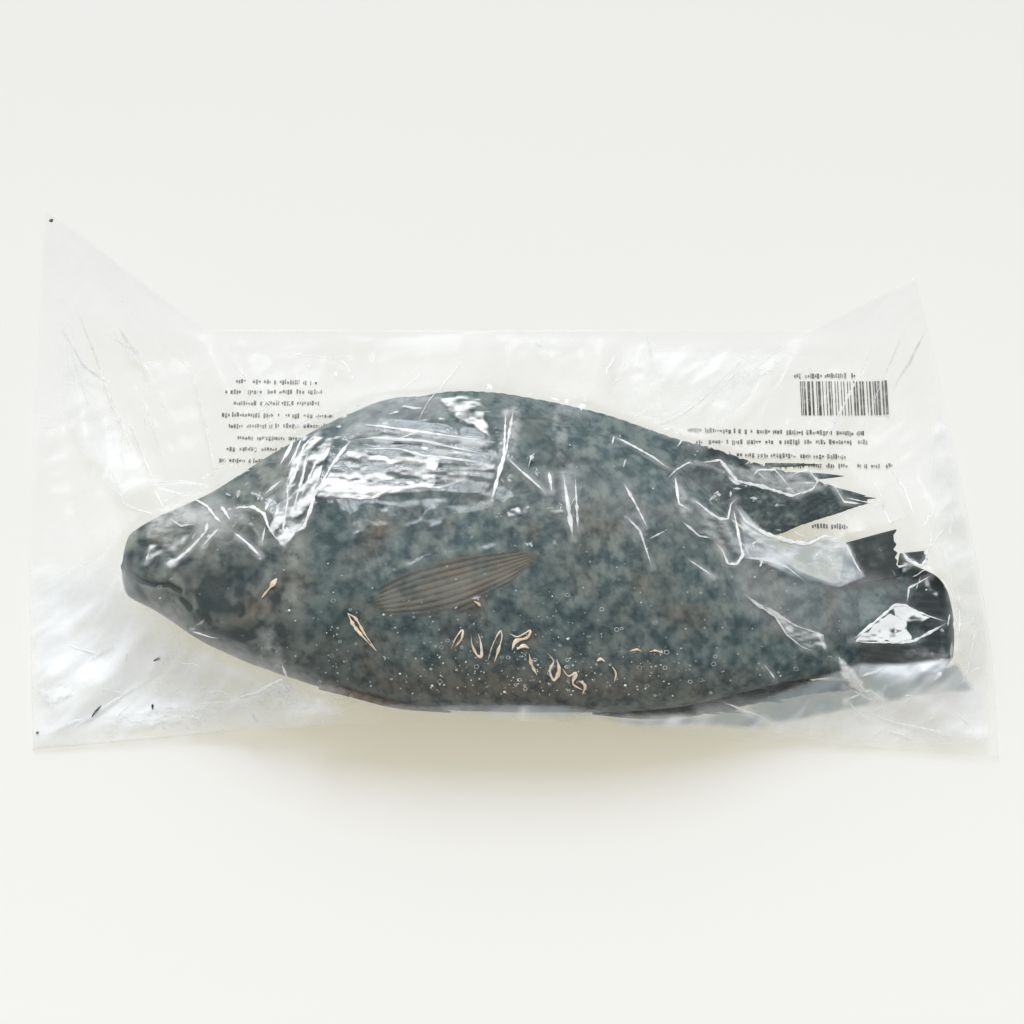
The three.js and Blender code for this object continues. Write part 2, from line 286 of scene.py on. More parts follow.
# ---------------------------------------------------------------- shader writing
class Socket:
    """An output socket of a material under way; arithmetic on it adds Math nodes."""

    def __init__(self, paint, output):
        self.paint, self.output = paint, output

    def math(self, operation, *others):
        inputs = dict(enumerate((self,) + others))
        return self.paint.add("ShaderNodeMath", {"operation": operation}, inputs)

    def __add__(self, other):
        return self.math("ADD", other)

    def __mul__(self, other):
        return self.math("MULTIPLY", other)

    def __sub__(self, other):
        return self.math("SUBTRACT", other)

    def __rsub__(self, other):
        return self * -1 + other

    def __pow__(self, other):
        return self.math("POWER", other)

    __radd__, __rmul__ = __add__, __mul__

    def limited(self):
        """Held between 0 and 1."""
        return self.math("MINIMUM", 1.0).math("MAXIMUM", 0.0)

    def between(self, low, high):
        """0 up to low, 1 from high on, eased in between."""
        settings = {"interpolation_type": "SMOOTHSTEP"}
        return self.paint.add("ShaderNodeMapRange", settings, {0: self, 1: low, 2: high})


class Paint:
    """A material and the nodes that make it."""

    def __init__(self, name):
        self.material = bpy.data.materials.new(name)
        self.material.use_nodes = True
        self.tree = self.material.node_tree
        self.tree.nodes.clear()

    def add(self, kind, settings=None, inputs=None, output=0):
        """A node of that kind: its settings first, then its sockets' values or links."""
        node = self.tree.nodes.new(kind)
        for key, value in (settings or {}).items():
            setattr(node, key, value)
        for key, value in (inputs or {}).items():
            if isinstance(value, Socket):
                self.tree.links.new(value.output, node.inputs[key])
            else:
                node.inputs[key].default_value = value
        return Socket(self, node.outputs[output])

    def layer(self, name):
        """A layer of the piece, which is 0 where it has none of that name."""
        return self.add("ShaderNodeAttribute", {"attribute_name": name}, output="Fac")

    def place(self):
        """The piece's own coordinates, in metres."""
        return self.add("ShaderNodeTexCoord", output="Object")

    def noise(self, where, size_mm, detail=3.0, roughness=0.55):
        """Clouds of about that size, with so many finer octaves."""
        inputs = {"Vector": where, "Scale": 1 / (size_mm * MM), "Detail": detail, "Roughness": roughness}
        return self.add("ShaderNodeTexNoise", None, inputs)

    def mix(self, share, first, second):
        """A colour that share of the way from the first to the second."""
        inputs = {0: share, 6: first, 7: second}
        return self.add("ShaderNodeMix", {"data_type": "RGBA"}, inputs, output=2)

    def bump(self, height, distance_mm, strength):
        """A normal, as if the surface rose by the height times the distance."""
        inputs = {"Height": height, "Distance": distance_mm * MM, "Strength": strength}
        return self.add("ShaderNodeBump", None, inputs)

    def principled(self, **values):
        """A Principled shader whose sockets are named in small letters."""
        inputs = {key.replace("_", " ").title().replace("Ior", "IOR"): value
                  for key, value in values.items()}
        return self.add("ShaderNodeBsdfPrincipled", None, inputs)

    def finish(self, shader):
        """Ends the material in that shader."""
        end = self.tree.nodes.new("ShaderNodeOutputMaterial")
        self.tree.links.new(shader.output, end.inputs["Surface"])
        return self.material


# ---------------------------------------------------------------- materials
SLATE = (0.044, 0.1, 0.113, 1)
INK = (0.01, 0.026, 0.032, 1)
ASH = (0.195, 0.248, 0.235, 1)
BONE = (0.3, 0.32, 0.29, 1)
EARTH = (0.19, 0.145, 0.108, 1)
OLIVE = (0.08, 0.116, 0.103, 1)
PUPIL, IRIS, SOCKET = (0.085, 0.1, 0.095, 1), (0.13, 0.14, 0.125, 1), (0.1, 0.125, 0.118, 1)
ORANGE, CREAM = (0.82, 0.58, 0.38, 1), (0.97, 0.87, 0.7, 1)
# near white, a painted highlight on clear water
WATER_GLINT = (0.88, 0.94, 0.95, 1)
CLEAR = (0.995, 0.997, 0.995, 1)
MIRRORED = (0.97, 0.98, 1, 1)
# the grey of the mist, SHADED_MILK, is painted shade
MILK, SHADED_MILK, THIN_MILK = (0.92, 0.935, 0.965, 1), (0.36, 0.42, 0.46, 1), (0.91, 0.93, 0.95, 1)
# the white of the painted highlights on the film's creases and glare patches
GLINT_WHITE = (0.93, 0.95, 0.96, 1)
FRESH_INK, WORN_INK = (0.02, 0.022, 0.025, 1), (0.4, 0.4, 0.4, 1)
MIRROR_SHARE, MIRROR_EDGE_ON = 0.038, 0.4  # of the film seen straight on, and added edge-on
# a painted glow of the mist
MILK_GLOW = 0.15
FISH_GLOSS = 0.25


def clear_film():
    """What is behind the film shows through. It mirrors by a share, plus a part of the
    seventh power of how edge-on it is seen, and mist hazes it, white or grey by a layer, the grey
    being painted shade; the mist glows faintly, a painted glow for the light that comes through
    from below."""
    p = Paint("clear_film")
    where = p.place()
    normal = p.bump(p.noise(where, 2.6, detail=2), 0.2, 0.45)
    edge_on = p.add("ShaderNodeLayerWeight", None, {"Blend": 0.5, "Normal": normal}, "Facing")
    shine = ((edge_on ** 7 * MIRROR_EDGE_ON + MIRROR_SHARE) * p.layer("gloss")).limited()
    mirror = p.add("ShaderNodeBsdfGlossy", None, {"Color": MIRRORED, "Roughness": 0.1, "Normal": normal})
    through = p.add("ShaderNodeBsdfTransparent", None, {"Color": CLEAR})
    clear = p.add("ShaderNodeMixShader", None, {0: shine, 1: through, 2: mirror})
    haze = (p.layer("mist") * (p.noise(where, 7, detail=2) * 0.6 + 0.7)).limited()
    colour = p.mix(p.layer("grey"), MILK, SHADED_MILK)
    milky = p.principled(base_color=colour, roughness=0.4, emission_color=colour,
                         emission_strength=MILK_GLOW)
    return p.finish(p.add("ShaderNodeMixShader", None, {0: haze, 1: clear, 2: milky}))


def under_film():
    """The lower film, flat on the table: clear, and a little misty by its layer."""
    p = Paint("under_film")
    through = p.add("ShaderNodeBsdfTransparent", None, {"Color": CLEAR})
    milky = p.principled(base_color=THIN_MILK, roughness=0.4)
    return p.finish(p.add("ShaderNodeMixShader", None, {0: p.layer("mist"), 1: through, 2: milky}))


def painted_glint_film():
    """Painted highlights on the film's creases and glare patches, white by its layer for light the film
    mirrors, clearer where its layer fades.
    """
    p = Paint("painted_glint_film")
    # the noise named worn breaks the painted highlight into patches
    worn = p.noise(p.place(), 2.5, detail=2)
    white = (p.layer("white") * (worn * 1.5 + 0.3)).limited()
    return p.finish(p.principled(base_color=GLINT_WHITE, roughness=0.25, alpha=white))


def fish_skin():
    """Slate skin in soft blotches the size of its scales, ash grey and olive on top of them,
    inky in the grooves and on the side that faces the front, which is painted shade, and earthy in
    patches and towards the belly."""
    p = Paint("fish_skin")
    where = p.place()
    blotch = p.noise(where, 5.4, detail=1.5, roughness=0.4)
    small = p.noise(where, 2.4, detail=2, roughness=0.5)
    cloud = p.noise(where, 38, detail=2)
    grain = p.noise(where, 1.1, detail=2)
    pale = (blotch * 0.7 + p.layer("tone") * 0.06 + small * 0.24).between(0.37, 0.69)
    deep = (1 - blotch * 0.6 - small * 0.4).between(0.44, 0.73) * (cloud * 1.1 + 0.3)
    colour = p.mix(pale, SLATE, ASH)
    colour = p.mix(cloud.between(0.45, 0.7) * 0.5, colour, OLIVE)
    colour = p.mix((p.layer("brown") * (small * 1.2 + 0.3)).limited(), colour, EARTH)
    colour = p.mix((p.layer("pale") * (small + 0.4)).limited(), colour, BONE)
    # shade: the skin's own dark spots and mottles, and painted shade in grooves, seams and on the side that
    # faces the front
    shade = (p.layer("dark") + p.layer("rim") * 0.4 + deep * 0.75).limited()
    colour = p.mix(shade * 0.88, colour, INK)
    return p.finish(p.principled(
        base_color=colour, roughness=grain * 0.25 + 0.35, specular_ior_level=FISH_GLOSS,
        normal=p.bump(grain + small * 2, 0.3, 0.5)))


def fin_skin(name, membrane, ray, rayed, earthy, blotched):
    """A fin: rays on a membrane by their share, blotched, with a share of earthy brown; the
    skin grows over it by its root layer, and it fades out by its fade layer."""
    p = Paint(name)
    blotch = p.noise(p.place(), 6, detail=4, roughness=0.65)
    streak = p.layer("ray").between(0.3, 0.95)
    root = p.layer("root")
    colour = p.mix(streak * rayed, membrane, ray)
    colour = p.mix((p.layer("brown") * earthy * (blotch + 0.4)).limited(), colour, EARTH)
    colour = p.mix(blotch.between(0.5, 0.68) * 0.8 * blotched, colour, ASH)
    colour = p.mix((1 - blotch).between(0.48, 0.62) * 0.8 * blotched, colour, INK)
    grown = p.mix(blotch.between(0.36, 0.62) * 0.9, SLATE, ASH)
    grown = p.mix((1 - blotch).between(0.5, 0.66) * 0.4, grown, INK)
    colour = p.mix(root.limited(), colour, grown)
    return p.finish(p.principled(
        base_color=colour, roughness=blotch * 0.2 + 0.35, specular_ior_level=FISH_GLOSS,
        alpha=1 - p.layer("fade"), normal=p.bump(blotch + streak * rayed, 0.15, 0.4)))


def eye_surface():
    """A dull eye: a clouded pupil in a dim brownish ring, by distance from the middle."""
    p = Paint("dull_eye")
    off = p.layer("off_centre")
    veins = p.noise(p.place(), 1.4, detail=3)
    ring = p.mix((off + veins * 0.3).between(0.75, 1.0), IRIS, SOCKET)
    colour = p.mix((off + veins * 0.15).between(0.38, 0.62), PUPIL, ring)
    return p.finish(p.principled(base_color=colour, roughness=veins * 0.2 + 0.3))


def water_drop():
    """Small drops and bubbles: painted bright as highlights on clear water, partly clear, each a little
    different.
    """
    p = Paint("water_drop")
    glow = p.noise(p.place(), 4, detail=1).between(0.35, 0.7)
    return p.finish(p.principled(base_color=WATER_GLINT, roughness=0.15, alpha=glow * 0.65 + 0.2))


def loose_skin():
    """Cream-orange shreds, mottled."""
    p = Paint("loose_skin")
    mottle = p.noise(p.place(), 2.2, detail=3).between(0.35, 0.65)
    colour = p.mix(mottle, ORANGE, CREAM)
    return p.finish(p.principled(base_color=colour, roughness=0.45))


def print_ink():
    """Dark grey ink, worn pale in clouds and by its layer."""
    p = Paint("print_ink")
    worn = p.noise(p.place(), 3, detail=3).between(0.42, 0.8)
    colour = p.mix((worn + p.layer("worn")).limited(), FRESH_INK, WORN_INK)
    return p.finish(p.principled(base_color=colour, roughness=0.6))


# ---------------------------------------------------------------- the body
RINGS, AROUND = 360, 260
BACK, BELLY = smooth(BODY["x"], BODY["back"]), smooth(BODY["x"], BODY["belly"])
HALF, MIDDLE = smooth(BODY["x"], BODY["half"]), smooth(BODY["x"], BODY["middle"])
SCALE_LONG, SCALE_ACROSS = 6.6, 3.5  # spacing of the scales on the deepest part of the flank
SCALE_RISE = 0.34
SCALE_RADIUS = 0.62  # of a scale's disc, in spacings
DEEPEST = 60.0  # half the body's greatest depth
LATERAL_LINE = -3.5  # rows of scales from the middle of the flank towards the back


def roof_tiles(a, b):
    """Scales laid like roof tiles on a staggered lattice with a spacing of one. Each is a disc,
    and of those over a point the one nearest the head lies on top. Gives how far back on its
    disc each point is, how near its free edge, and the disc's own random number."""
    own = np.random.default_rng(11).uniform(0, 1, (LATTICE, LATTICE))
    foremost = np.full(a.shape, np.inf)
    back, edge, tone = np.zeros(a.shape), np.zeros(a.shape), np.full(a.shape, 0.5)
    for row in (-1, 0, 1):
        j = np.floor(b) + row
        stagger = 0.5 * (j % 2)
        for step in (-1, 0, 1):
            i = np.floor(a - stagger) + step
            da, db = a - i - stagger - 0.3, (b - j - 0.5) * 0.5
            reach = np.hypot(da, db) / SCALE_RADIUS
            on_top = (reach < 1) & (i + stagger < foremost)
            foremost = np.where(on_top, i + stagger, foremost)
            back = np.where(on_top, (da / SCALE_RADIUS + 1) / 2, back)
            edge = np.where(on_top, np.where(da > 0, reach, 0), edge)
            pick = own[i.astype(int) % LATTICE, j.astype(int) % LATTICE]
            tone = np.where(on_top, pick, tone)
    return back, edge, tone


def arc_reach(x, y, arc):
    """How far out each point is on an arc's own ellipse: 1 on the arc."""
    return np.hypot(x - arc["x"], (y - arc["y"]) / arc["squash"]) / arc["reach"]


def along_line(x, y, corners, half_width):
    """1 on a broken line, falling evenly to 0 at the half width beside it."""
    return np.clip(1 - off_line(x, y, corners) / half_width, 0, 1)


# a groove's rim and dark are painted shade in it
HEAD_GROOVES = [  # each one's corners, and how deep, how rimmed and how dark it is, with half widths
    {"corners": [(-144, -36), (-139.5, -42), (-135, -45.4), (-129.5, -47.4), (-124, -48.2), (-119.5, -50.6)],
     "depth": (1.1, 1.8), "rim": (0.5, 1.5), "dark": (1.0, 1.3)},  # the mouth
    {"corners": [(-119, -53.5), (-115.5, -57)],
     "depth": (0.8, 2.0), "rim": (0.8, 1.5), "dark": (0.9, 1.3)},  # the jaw bone
    {"corners": [(-112.5, -54), (-110, -58), (-108.4, -62)],
     "depth": (0.8, 1.8), "rim": (0.7, 1.4), "dark": (0.9, 1.2)},  # the cheek bone
    {"corners": [(-137, -47), (-131.8, -53), (-125, -58)],
     "depth": (0.8, 1.8), "rim": (0.7, 1.6), "dark": (0.9, 1.3)},  # below the lip
    {"corners": [(-137, -30), (-129, -33.5), (-122, -38)],
     "depth": (0.5, 2.4), "dark": (0.6, 1.6)},  # the snout
    {"corners": [(-106, -65), (-97, -68.5), (-86, -67.5)],
     "depth": (0.9, 2.6), "dark": (0.7, 1.6)},  # the chin
]
HEAD_SWELLS = [  # what rises and sinks on the head: height, centre, radii and turn
    (0.8, -121, -45, 5, 4), (1.0, -94, -56, 11, 3, 0.7), (-1.4, -102, -50, 7, 6, 0.4),
    (-0.6, -125, -29.5, 1.7, 1.3),
]
BROWN_SPOTS = [  # marks on the skin: strength, centre, radii and turn
    (2.2, -90.5, -58.2, 11, 4, 0.56), (0.45, -104, -27, 7, 5), (0.5, -77, -52, 5, 12),
    (0.7, -46, -31, 3, 7), (0.35, -70, -74, 22, 7, -0.2), (0.75, 0, -87, 75, 7),
    (0.12, 48, -62, 30, 22), (0.1, 100, -55, 18, 12),
]
PALE_SPOTS = [
    (0.9, -78.3, -55, 3.4, 5), (1.1, -76.6, -37, 3.2, 6.5, -0.2), (0.4, -121, -46, 5, 4),
    (0.3, -122, -58, 12, 4, -0.5), (0.35, -86, -75, 2.2, 6, -0.15), (0.35, -74, -64, 3, 4),
    (0.55, -121, -53, 9, 5, -0.6),
]
DARK_SPOTS = [
    (0.7, -91, -66.5, 15, 3, -0.1), (0.15, -66, -62, 10, 16, 0.3), (0.4, -102, -35.5, 8, 1.6),
    (0.35, -132, -34, 9, 7, 0.4), (0.3, 0, -68, 60, 12), (0.25, -60, -20, 16, 24),
    (0.3, -92, -43, 9, 6),
]


def grooves(x, y, kind):
    """The sum of the head's grooves, each by its strength and half width in that kind."""
    lines = [(groove["corners"], *groove[kind]) for groove in HEAD_GROOVES if kind in groove]
    return sum(strength * along_line(x, y, corners, width) for corners, strength, width in lines)


def swell(x, y, arc):
    """A surface that rises evenly towards the back of an arc's ellipse, where it is 1 high."""
    reach = arc_reach(x, y, arc)
    return np.where(reach < 1, reach * np.maximum(x - arc["x"], 0) / arc["reach"], 0)


def seam(x, y, arc, half_width):
    """A bell along the back half of an arc, just outside its ellipse."""
    off = (arc_reach(x, y, arc) - 1.02) * arc["reach"]
    return np.exp(-((off / half_width) ** 2)) * (x > arc["x"])


def head_relief(x, y):
    """What the head adds to the left flank, in millimetres: the gill cover and cheek swell
    towards arcs and end there in steps; grooves, hollows and the eye's socket are sunk in, and
    the throat is pleated by a sine."""
    relief = GILL_COVER["step"] * swell(x, y, GILL_COVER) + CHEEK["step"] * swell(x, y, CHEEK)
    relief += spots(x, y, HEAD_SWELLS) - grooves(x, y, "depth")
    off = np.hypot(x - EYE["x"], y - EYE["y"]) / EYE["radius"]
    relief += 0.3 * np.exp(-(((off - 1.25) / 0.3) ** 2)) - 1.2 * np.clip(1 - off, 0, 1) ** 0.5
    cheek = arc_reach(x, y, CHEEK)
    throat = np.clip(1 - np.abs(cheek - 1.12) / 0.14, 0, 1) * (y < CHEEK["y"] - 12)
    return relief + 0.45 * throat * np.sin((cheek - 1) * 90)


def skin_layers(x, y, downward, top, scaled, edge, tone, seams):
    """How each point of the skin is coloured: the random tone of its scale, the dark rims of
    scales, with painted shade in seams and slits, and how brown, pale and dark it is, each the sum
    of soft spots, patches of noise and, for dark, painted shade in the head's grooves and on the
    side that faces the front."""
    # painted shade in the seams beside the gill cover and cheek, and in the head's grooves
    rim = scaled * np.clip((edge - 0.72) / 0.28, 0, 1) + 1.6 * top * (seams + grooves(x, y, "rim"))
    head = ramp((-68 - x) / 18)
    brown = spots(x, y, BROWN_SPOTS) + 0.2 * spot(x, y, 20, -30, 60, 26) * (1 + noise(x, y, 14, 55))
    brown += head * 0.7 * patches(x, y, 10, 53, 0) + 0.6 * patches(x, y, 10, 57, 0.2)
    pale = spots(x, y, PALE_SPOTS) + 0.6 * patches(x, y, 8, 58, 0.35)
    pale += head * (0.2 + 1.2 * patches(x, y, 7, 51, 0) + 0.5 * patches(x, y, 3.2, 56, 0))
    # painted shade: darker on the side that faces the front, and in the head's grooves
    dark = spots(x, y, DARK_SPOTS) + grooves(x, y, "dark") + 0.35 * np.clip(downward - 0.2, 0, 1)
    dark += (1.3 + 0.7 * noise(x, y, 6, 59)) * spot(x, y, -101, -51, 10, 7.5, 0.2)
    dark += head * (0.7 * np.clip(-noise(x, y, 9, 52) - 0.15, 0, 1) + 0.6 * patches(x, y, 4, 54, 0.1))
    dark += 0.5 * ramp((x - 112) / 18) * ramp((-52 - y) / 12)
    return {"tone": lerp(0.5, tone, scaled), "rim": np.clip(rim, 0, 2), "brown": brown, "pale": pale,
            "dark": dark}


def fish_body():
    """Rings of superellipses (cosine and sine raised to 2 over the power) along the body's
    lines, finer on the upper flank; the skin is then pushed out by scales and head relief."""
    u = np.linspace(0, 1, RINGS)[:, None]
    first, last = BODY["x"][0], BODY["x"][-1]
    x = lerp(first, last, lerp(u, (1 - np.cos(np.pi * u)) / 2, 0.3))
    w = np.arange(AROUND)[None] / AROUND
    v = 2 * np.pi * w + 0.4 * (np.cos(2 * np.pi * w) - 1)
    fade = np.sqrt(1 - (1 - np.clip((x - first) / NOSE, 0.02, 1)) ** 2)
    fade *= np.sqrt(1 - (1 - np.clip((last - x) / NOSE, 0.02, 1)) ** 2)
    across, up = (np.sign(a) * np.abs(a) ** (2 / SECTION_POWER) for a in (np.cos(v), np.sin(v)))
    centre, wide = (BACK(x) + BELLY(x)) / 2, (BACK(x) - BELLY(x)) / 2
    x = x + 0 * v
    points = np.stack([x, centre + wide * fade * across, MIDDLE(x) + HALF(x) * fade * up], -1)

    run, round_ = np.gradient(points, axis=0), np.gradient(points, axis=1)
    outward = np.cross(round_, run)
    outward /= np.linalg.norm(outward, axis=-1, keepdims=True) + 1e-9

    size = 0.5 + 0.5 * wide / DEEPEST
    girth = np.sqrt((wide ** 2 + HALF(x) ** 2) / 2)
    a = np.cumsum(np.gradient(x[:, :1], axis=0) / (SCALE_LONG * size), axis=0) + 0 * v
    b = (v - np.pi / 2) * girth / (SCALE_ACROSS * size)
    wander = 0.16 * noise(x, points[..., 1], 9, 31)
    back, edge, tone = roof_tiles(a + wander, b + wander)
    y, top = points[..., 1].copy(), np.clip(outward[..., 2], 0, 1) ** 0.5
    scaled = ramp((x + 62) / 12) * np.clip((arc_reach(x, y, GILL_COVER) - 1) * 9, 0, 1)
    scaled = np.maximum(scaled, 0.35 * ramp((x + 112) / 20) * (top > 0))
    relief = SCALE_RISE * scaled * (back - 0.5) * size
    relief += 0.5 * noise(x, y, 24, 5) + 0.18 * noise(x, y, 7, 6)
    relief -= 0.25 * np.exp(-(((b - LATERAL_LINE) / 0.5) ** 2)) * (x > -50)
    # seams: painted shade just outside the steps of the gill cover and cheek
    seams = 0.3 * seam(x, y, GILL_COVER, 1.3) + 0.3 * seam(x, y, CHEEK, 1.2)
    points += outward * (relief + top * head_relief(x, y))[..., None]

    layers = skin_layers(x, points[..., 1], -outward[..., 1], top, scaled, edge, tone, seams)
    layers = {name: np.append(values.ravel(), [0.5, 0.5]) for name, values in layers.items()}
    poles = [[end + past, (BACK(end) + BELLY(end)) / 2, MIDDLE(end)]
             for end, past in ((first, -0.15), (last, 0.15))]
    cloud = np.concatenate([points.reshape(-1, 3), poles])
    make_piece("fish_body", cloud, [grid_quads(RINGS, AROUND, True), pole_fans(RINGS, AROUND)],
               fish_skin(), "fish_skin", **layers)
    return cloud


# ---------------------------------------------------------------- rounded bits
def ball(rings, around):
    """A ball of radius 1: rings of latitude between two poles."""
    latitude = np.linspace(-np.pi / 2, np.pi / 2, rings + 2)[1:-1, None]
    turn = 2 * np.pi * np.arange(around)[None] / around
    unit = np.stack([np.cos(latitude) * np.cos(turn), np.cos(latitude) * np.sin(turn),
                     np.sin(latitude) + 0 * turn], -1).reshape(-1, 3)
    unit = np.concatenate([unit, [[0, 0, -1], [0, 0, 1]]])
    return unit, grid_quads(rings, around, True), pole_fans(rings, around)


def eye(body):
    """A flattened ball in its socket, with each point's distance from the middle as a layer."""
    near = np.hypot(body[:, 0] - EYE["x"], body[:, 1] - EYE["y"]) < 2
    unit, quads, fans = ball(24, 48)
    points = unit * EYE["radii"] + (EYE["x"], EYE["y"], body[near, 2].max() - EYE["sunk"])
    off = np.hypot(points[:, 0] - EYE["x"], points[:, 1] - EYE["y"]) / EYE["radius"]
    make_piece("eye", points, [quads, fans], eye_surface(), "eye", off_centre=off)
    return points


# ---------------------------------------------------------------- the fins
DORSAL_FIN = {
    "x": [-37, -20, 0, 36, 66, 82, 99, 112, 129, 138],
    "upper": [29.4, 32.4, 31.2, 23.7, 13.5, 9.6, 4.8, 1.6, -4, -7],
    "lower": [29, 24, 19, 8, -6, -16, -23.5, -19, -12.5, -9],
    "z": [27, 27.5, 27.5, 27, 25, 23, 20.5, 18.8, 16.7, 15.8],
}
ANAL_FIN = {
    "x": [32, 46, 60, 72, 84, 100, 116, 130],
    "upper": [-87, -86, -85, -83, -80.5, -78, -77.5, -78.6],
    "lower": [-92.6, -93.2, -92.8, -91, -88.4, -85.4, -83, -81.4],
    "z": [18, 15, 12.5, 11.5, 11, 11.5, 12, 12],
}
PELVIC_FIN = {
    "x": [-68, -56, -44, -32, -20],
    "upper": [-84.5, -85.6, -87.2, -89.6, -93],
    "lower": [-86.4, -89, -91.8, -93.2, -93.6],
    "z": [30, 28.6, 27, 25.4, 24],
}
PECTORAL_FIN = {"x": -52, "y": -60, "to_x": 19, "to_y": -37.5, "half_width": 9.6}
TAIL_FIN = {
    "across": [0, 0.12, 0.35, 0.65, 0.88, 1],
    "root_y": [-71.5, -68, -61, -51, -45, -42.5],
    "tip_x": [155, 164, 166.8, 167, 163, 152],
    "tip_y": [-76, -73.5, -66, -52, -40.5, -33.5],
    "root_x": 120, "root_z": 17, "tip_z": 12.5, "rays": 15, "roll": 4.6,
}
TAIL_FLAPS = [  # torn flaps: corners, columns and rows of the grid, rays, seed
    ([(125, -44, 18.5), (148.5, -39, 17.6), (147.5, -20.6, 18.4), (128.5, -26, 18.6)], 90, 40, 6, 81),
    ([(148, -34, 16.5), (159.4, -33.6, 15.6), (158.6, -28.4, 15.6), (149, -29.5, 16.4)], 40, 20, 3, 82),
]
DORSAL_TIPS = [  # the back fin's free ray tips: root, tip, width
    ((99, 4.6, 21), (121, 5.4, 19.6), 1.8), ((108, 0.5, 19.8), (129.5, 1.2, 18.3), 3.4),
    ((112, -4.5, 19.2), (137.5, -6.4, 17), 6.0), ((116, -7.5, 18.4), (141.5, -7.2, 16.6), 3.6),
    ((108, -12.5, 18.8), (131, -10.6, 17), 5.0),
]
FIN_THICKNESS = 1.1
TIP_RAY = 0.7  # how much of a ray's colour the free tips have


def flat_fin(lines, columns, rows, ray_gap, slant, fringe):
    """A fin lying flat: straight lines from its lower to its upper edge, station by station.
    Its rays run back at a slant and stand up as a cosine, and the edges are frayed between
    them by the fringe. Gives its points and faces, and how near a ray each point is."""
    x = np.linspace(lines["x"][0], lines["x"][-1], columns)[None]
    c = np.linspace(0, 1, rows)[:, None]
    bend = slant * (1 - np.abs(2 * c - 1)) + 1.3 * noise(x, 9 * c, 11, 43)
    ray = np.cos(2 * np.pi * (x - bend) / ray_gap)
    fray = np.maximum(-ray, 0) ** 2 + 0.7 * noise(x, c * 40, 7, 41)
    fray *= fringe * np.clip((x - 50) / 40, 0.15, 1)
    low, high = smooth(lines["x"], lines["lower"])(x), smooth(lines["x"], lines["upper"])(x)
    low, high = low + 0.5 * fray, high - fray
    y = lerp(low, high, c)
    z = smooth(lines["x"], lines["z"])(x) + 0.16 * ray + 0.5 * noise(x, y, 13, 42)
    thin = np.sin(np.pi * np.clip(c, 0.03, 0.97)) ** 0.5
    sheet = closed_sheet(np.stack([x + 0 * y, y, z], -1), FIN_THICKNESS * thin)
    return sheet, both_faces(0.5 - 0.5 * ray)


def spine_tip(root, tip, width, thickness):
    """A stiff ray's free end: a leaf whose width falls as one minus its length squared."""
    u = np.linspace(0, 1, 14)[None]
    c = np.linspace(-1, 1, 5)[:, None]
    root, tip = np.array(root, float), np.array(tip, float)
    run = (tip - root) / np.linalg.norm(tip - root)
    side = np.array([-run[1], run[0], 0])
    half = width / 2 * (1.02 - u ** 2)
    middle = root + (tip - root) * u[..., None]
    points = middle + side * (half * c)[..., None]
    return closed_sheet(points, thickness * (1.1 - c ** 2) * (1.05 - u))


def with_tips(sheet, ray, tips, thickness):
    """A fin's sheet with free ray tips, each by its root, tip and width, and their ray layer."""
    tips = [spine_tip(root, tip, width, thickness) for root, tip, width in tips]
    points, faces = joined([sheet] + tips)
    return points, faces, np.append(ray, np.full(len(points) - len(ray), TIP_RAY))


def dorsal_fin(material):
    """The fin along the back, under the skin's colours in front: a flat sheet whose soft end
    trails off in separate ray tips."""
    sheet, ray = flat_fin(DORSAL_FIN, 300, 22, 4.6, 16, 0.45)
    points, faces, ray = with_tips(sheet, ray, DORSAL_TIPS, 1.2)
    make_piece("dorsal_fin", points, [faces], material, "fin", ray=ray,
               brown=0 * ray, root=0.9 * ramp((84 - points[:, 0]) / 30))
    return points


def anal_fin(material):
    """The fin behind the belly, folded back against it, torn into seeded blades."""
    sheet, ray = flat_fin(ANAL_FIN, 160, 12, 4.2, 10, 0.9)
    draw = np.random.default_rng(19)
    blades = []
    for x in np.linspace(44, 100, 10):
        tip_x = x + draw.uniform(14, 27)
        root = (x, BELLY(x) + 3.5, 15 - (x - 44) * 0.04)
        tip = (tip_x, max(BELLY(tip_x) - draw.uniform(2, 6.5), -93.5), 12.5 - (x - 44) * 0.03)
        blades.append((root, tip, draw.uniform(2.4, 5)))
    points, faces, ray = with_tips(sheet, ray, blades, 1.1)
    make_piece("anal_fin", points, [faces], material, "fin", ray=ray, brown=0 * ray)
    return points


def pelvic_fin(material):
    """The paired fin under the belly, folded to a brown streak."""
    (points, faces), ray = flat_fin(PELVIC_FIN, 120, 10, 4.0, 20, 0.5)
    make_piece("pelvic_fin", points, [faces], material, "fin", ray=ray, brown=0.8 + 0 * ray)
    return points


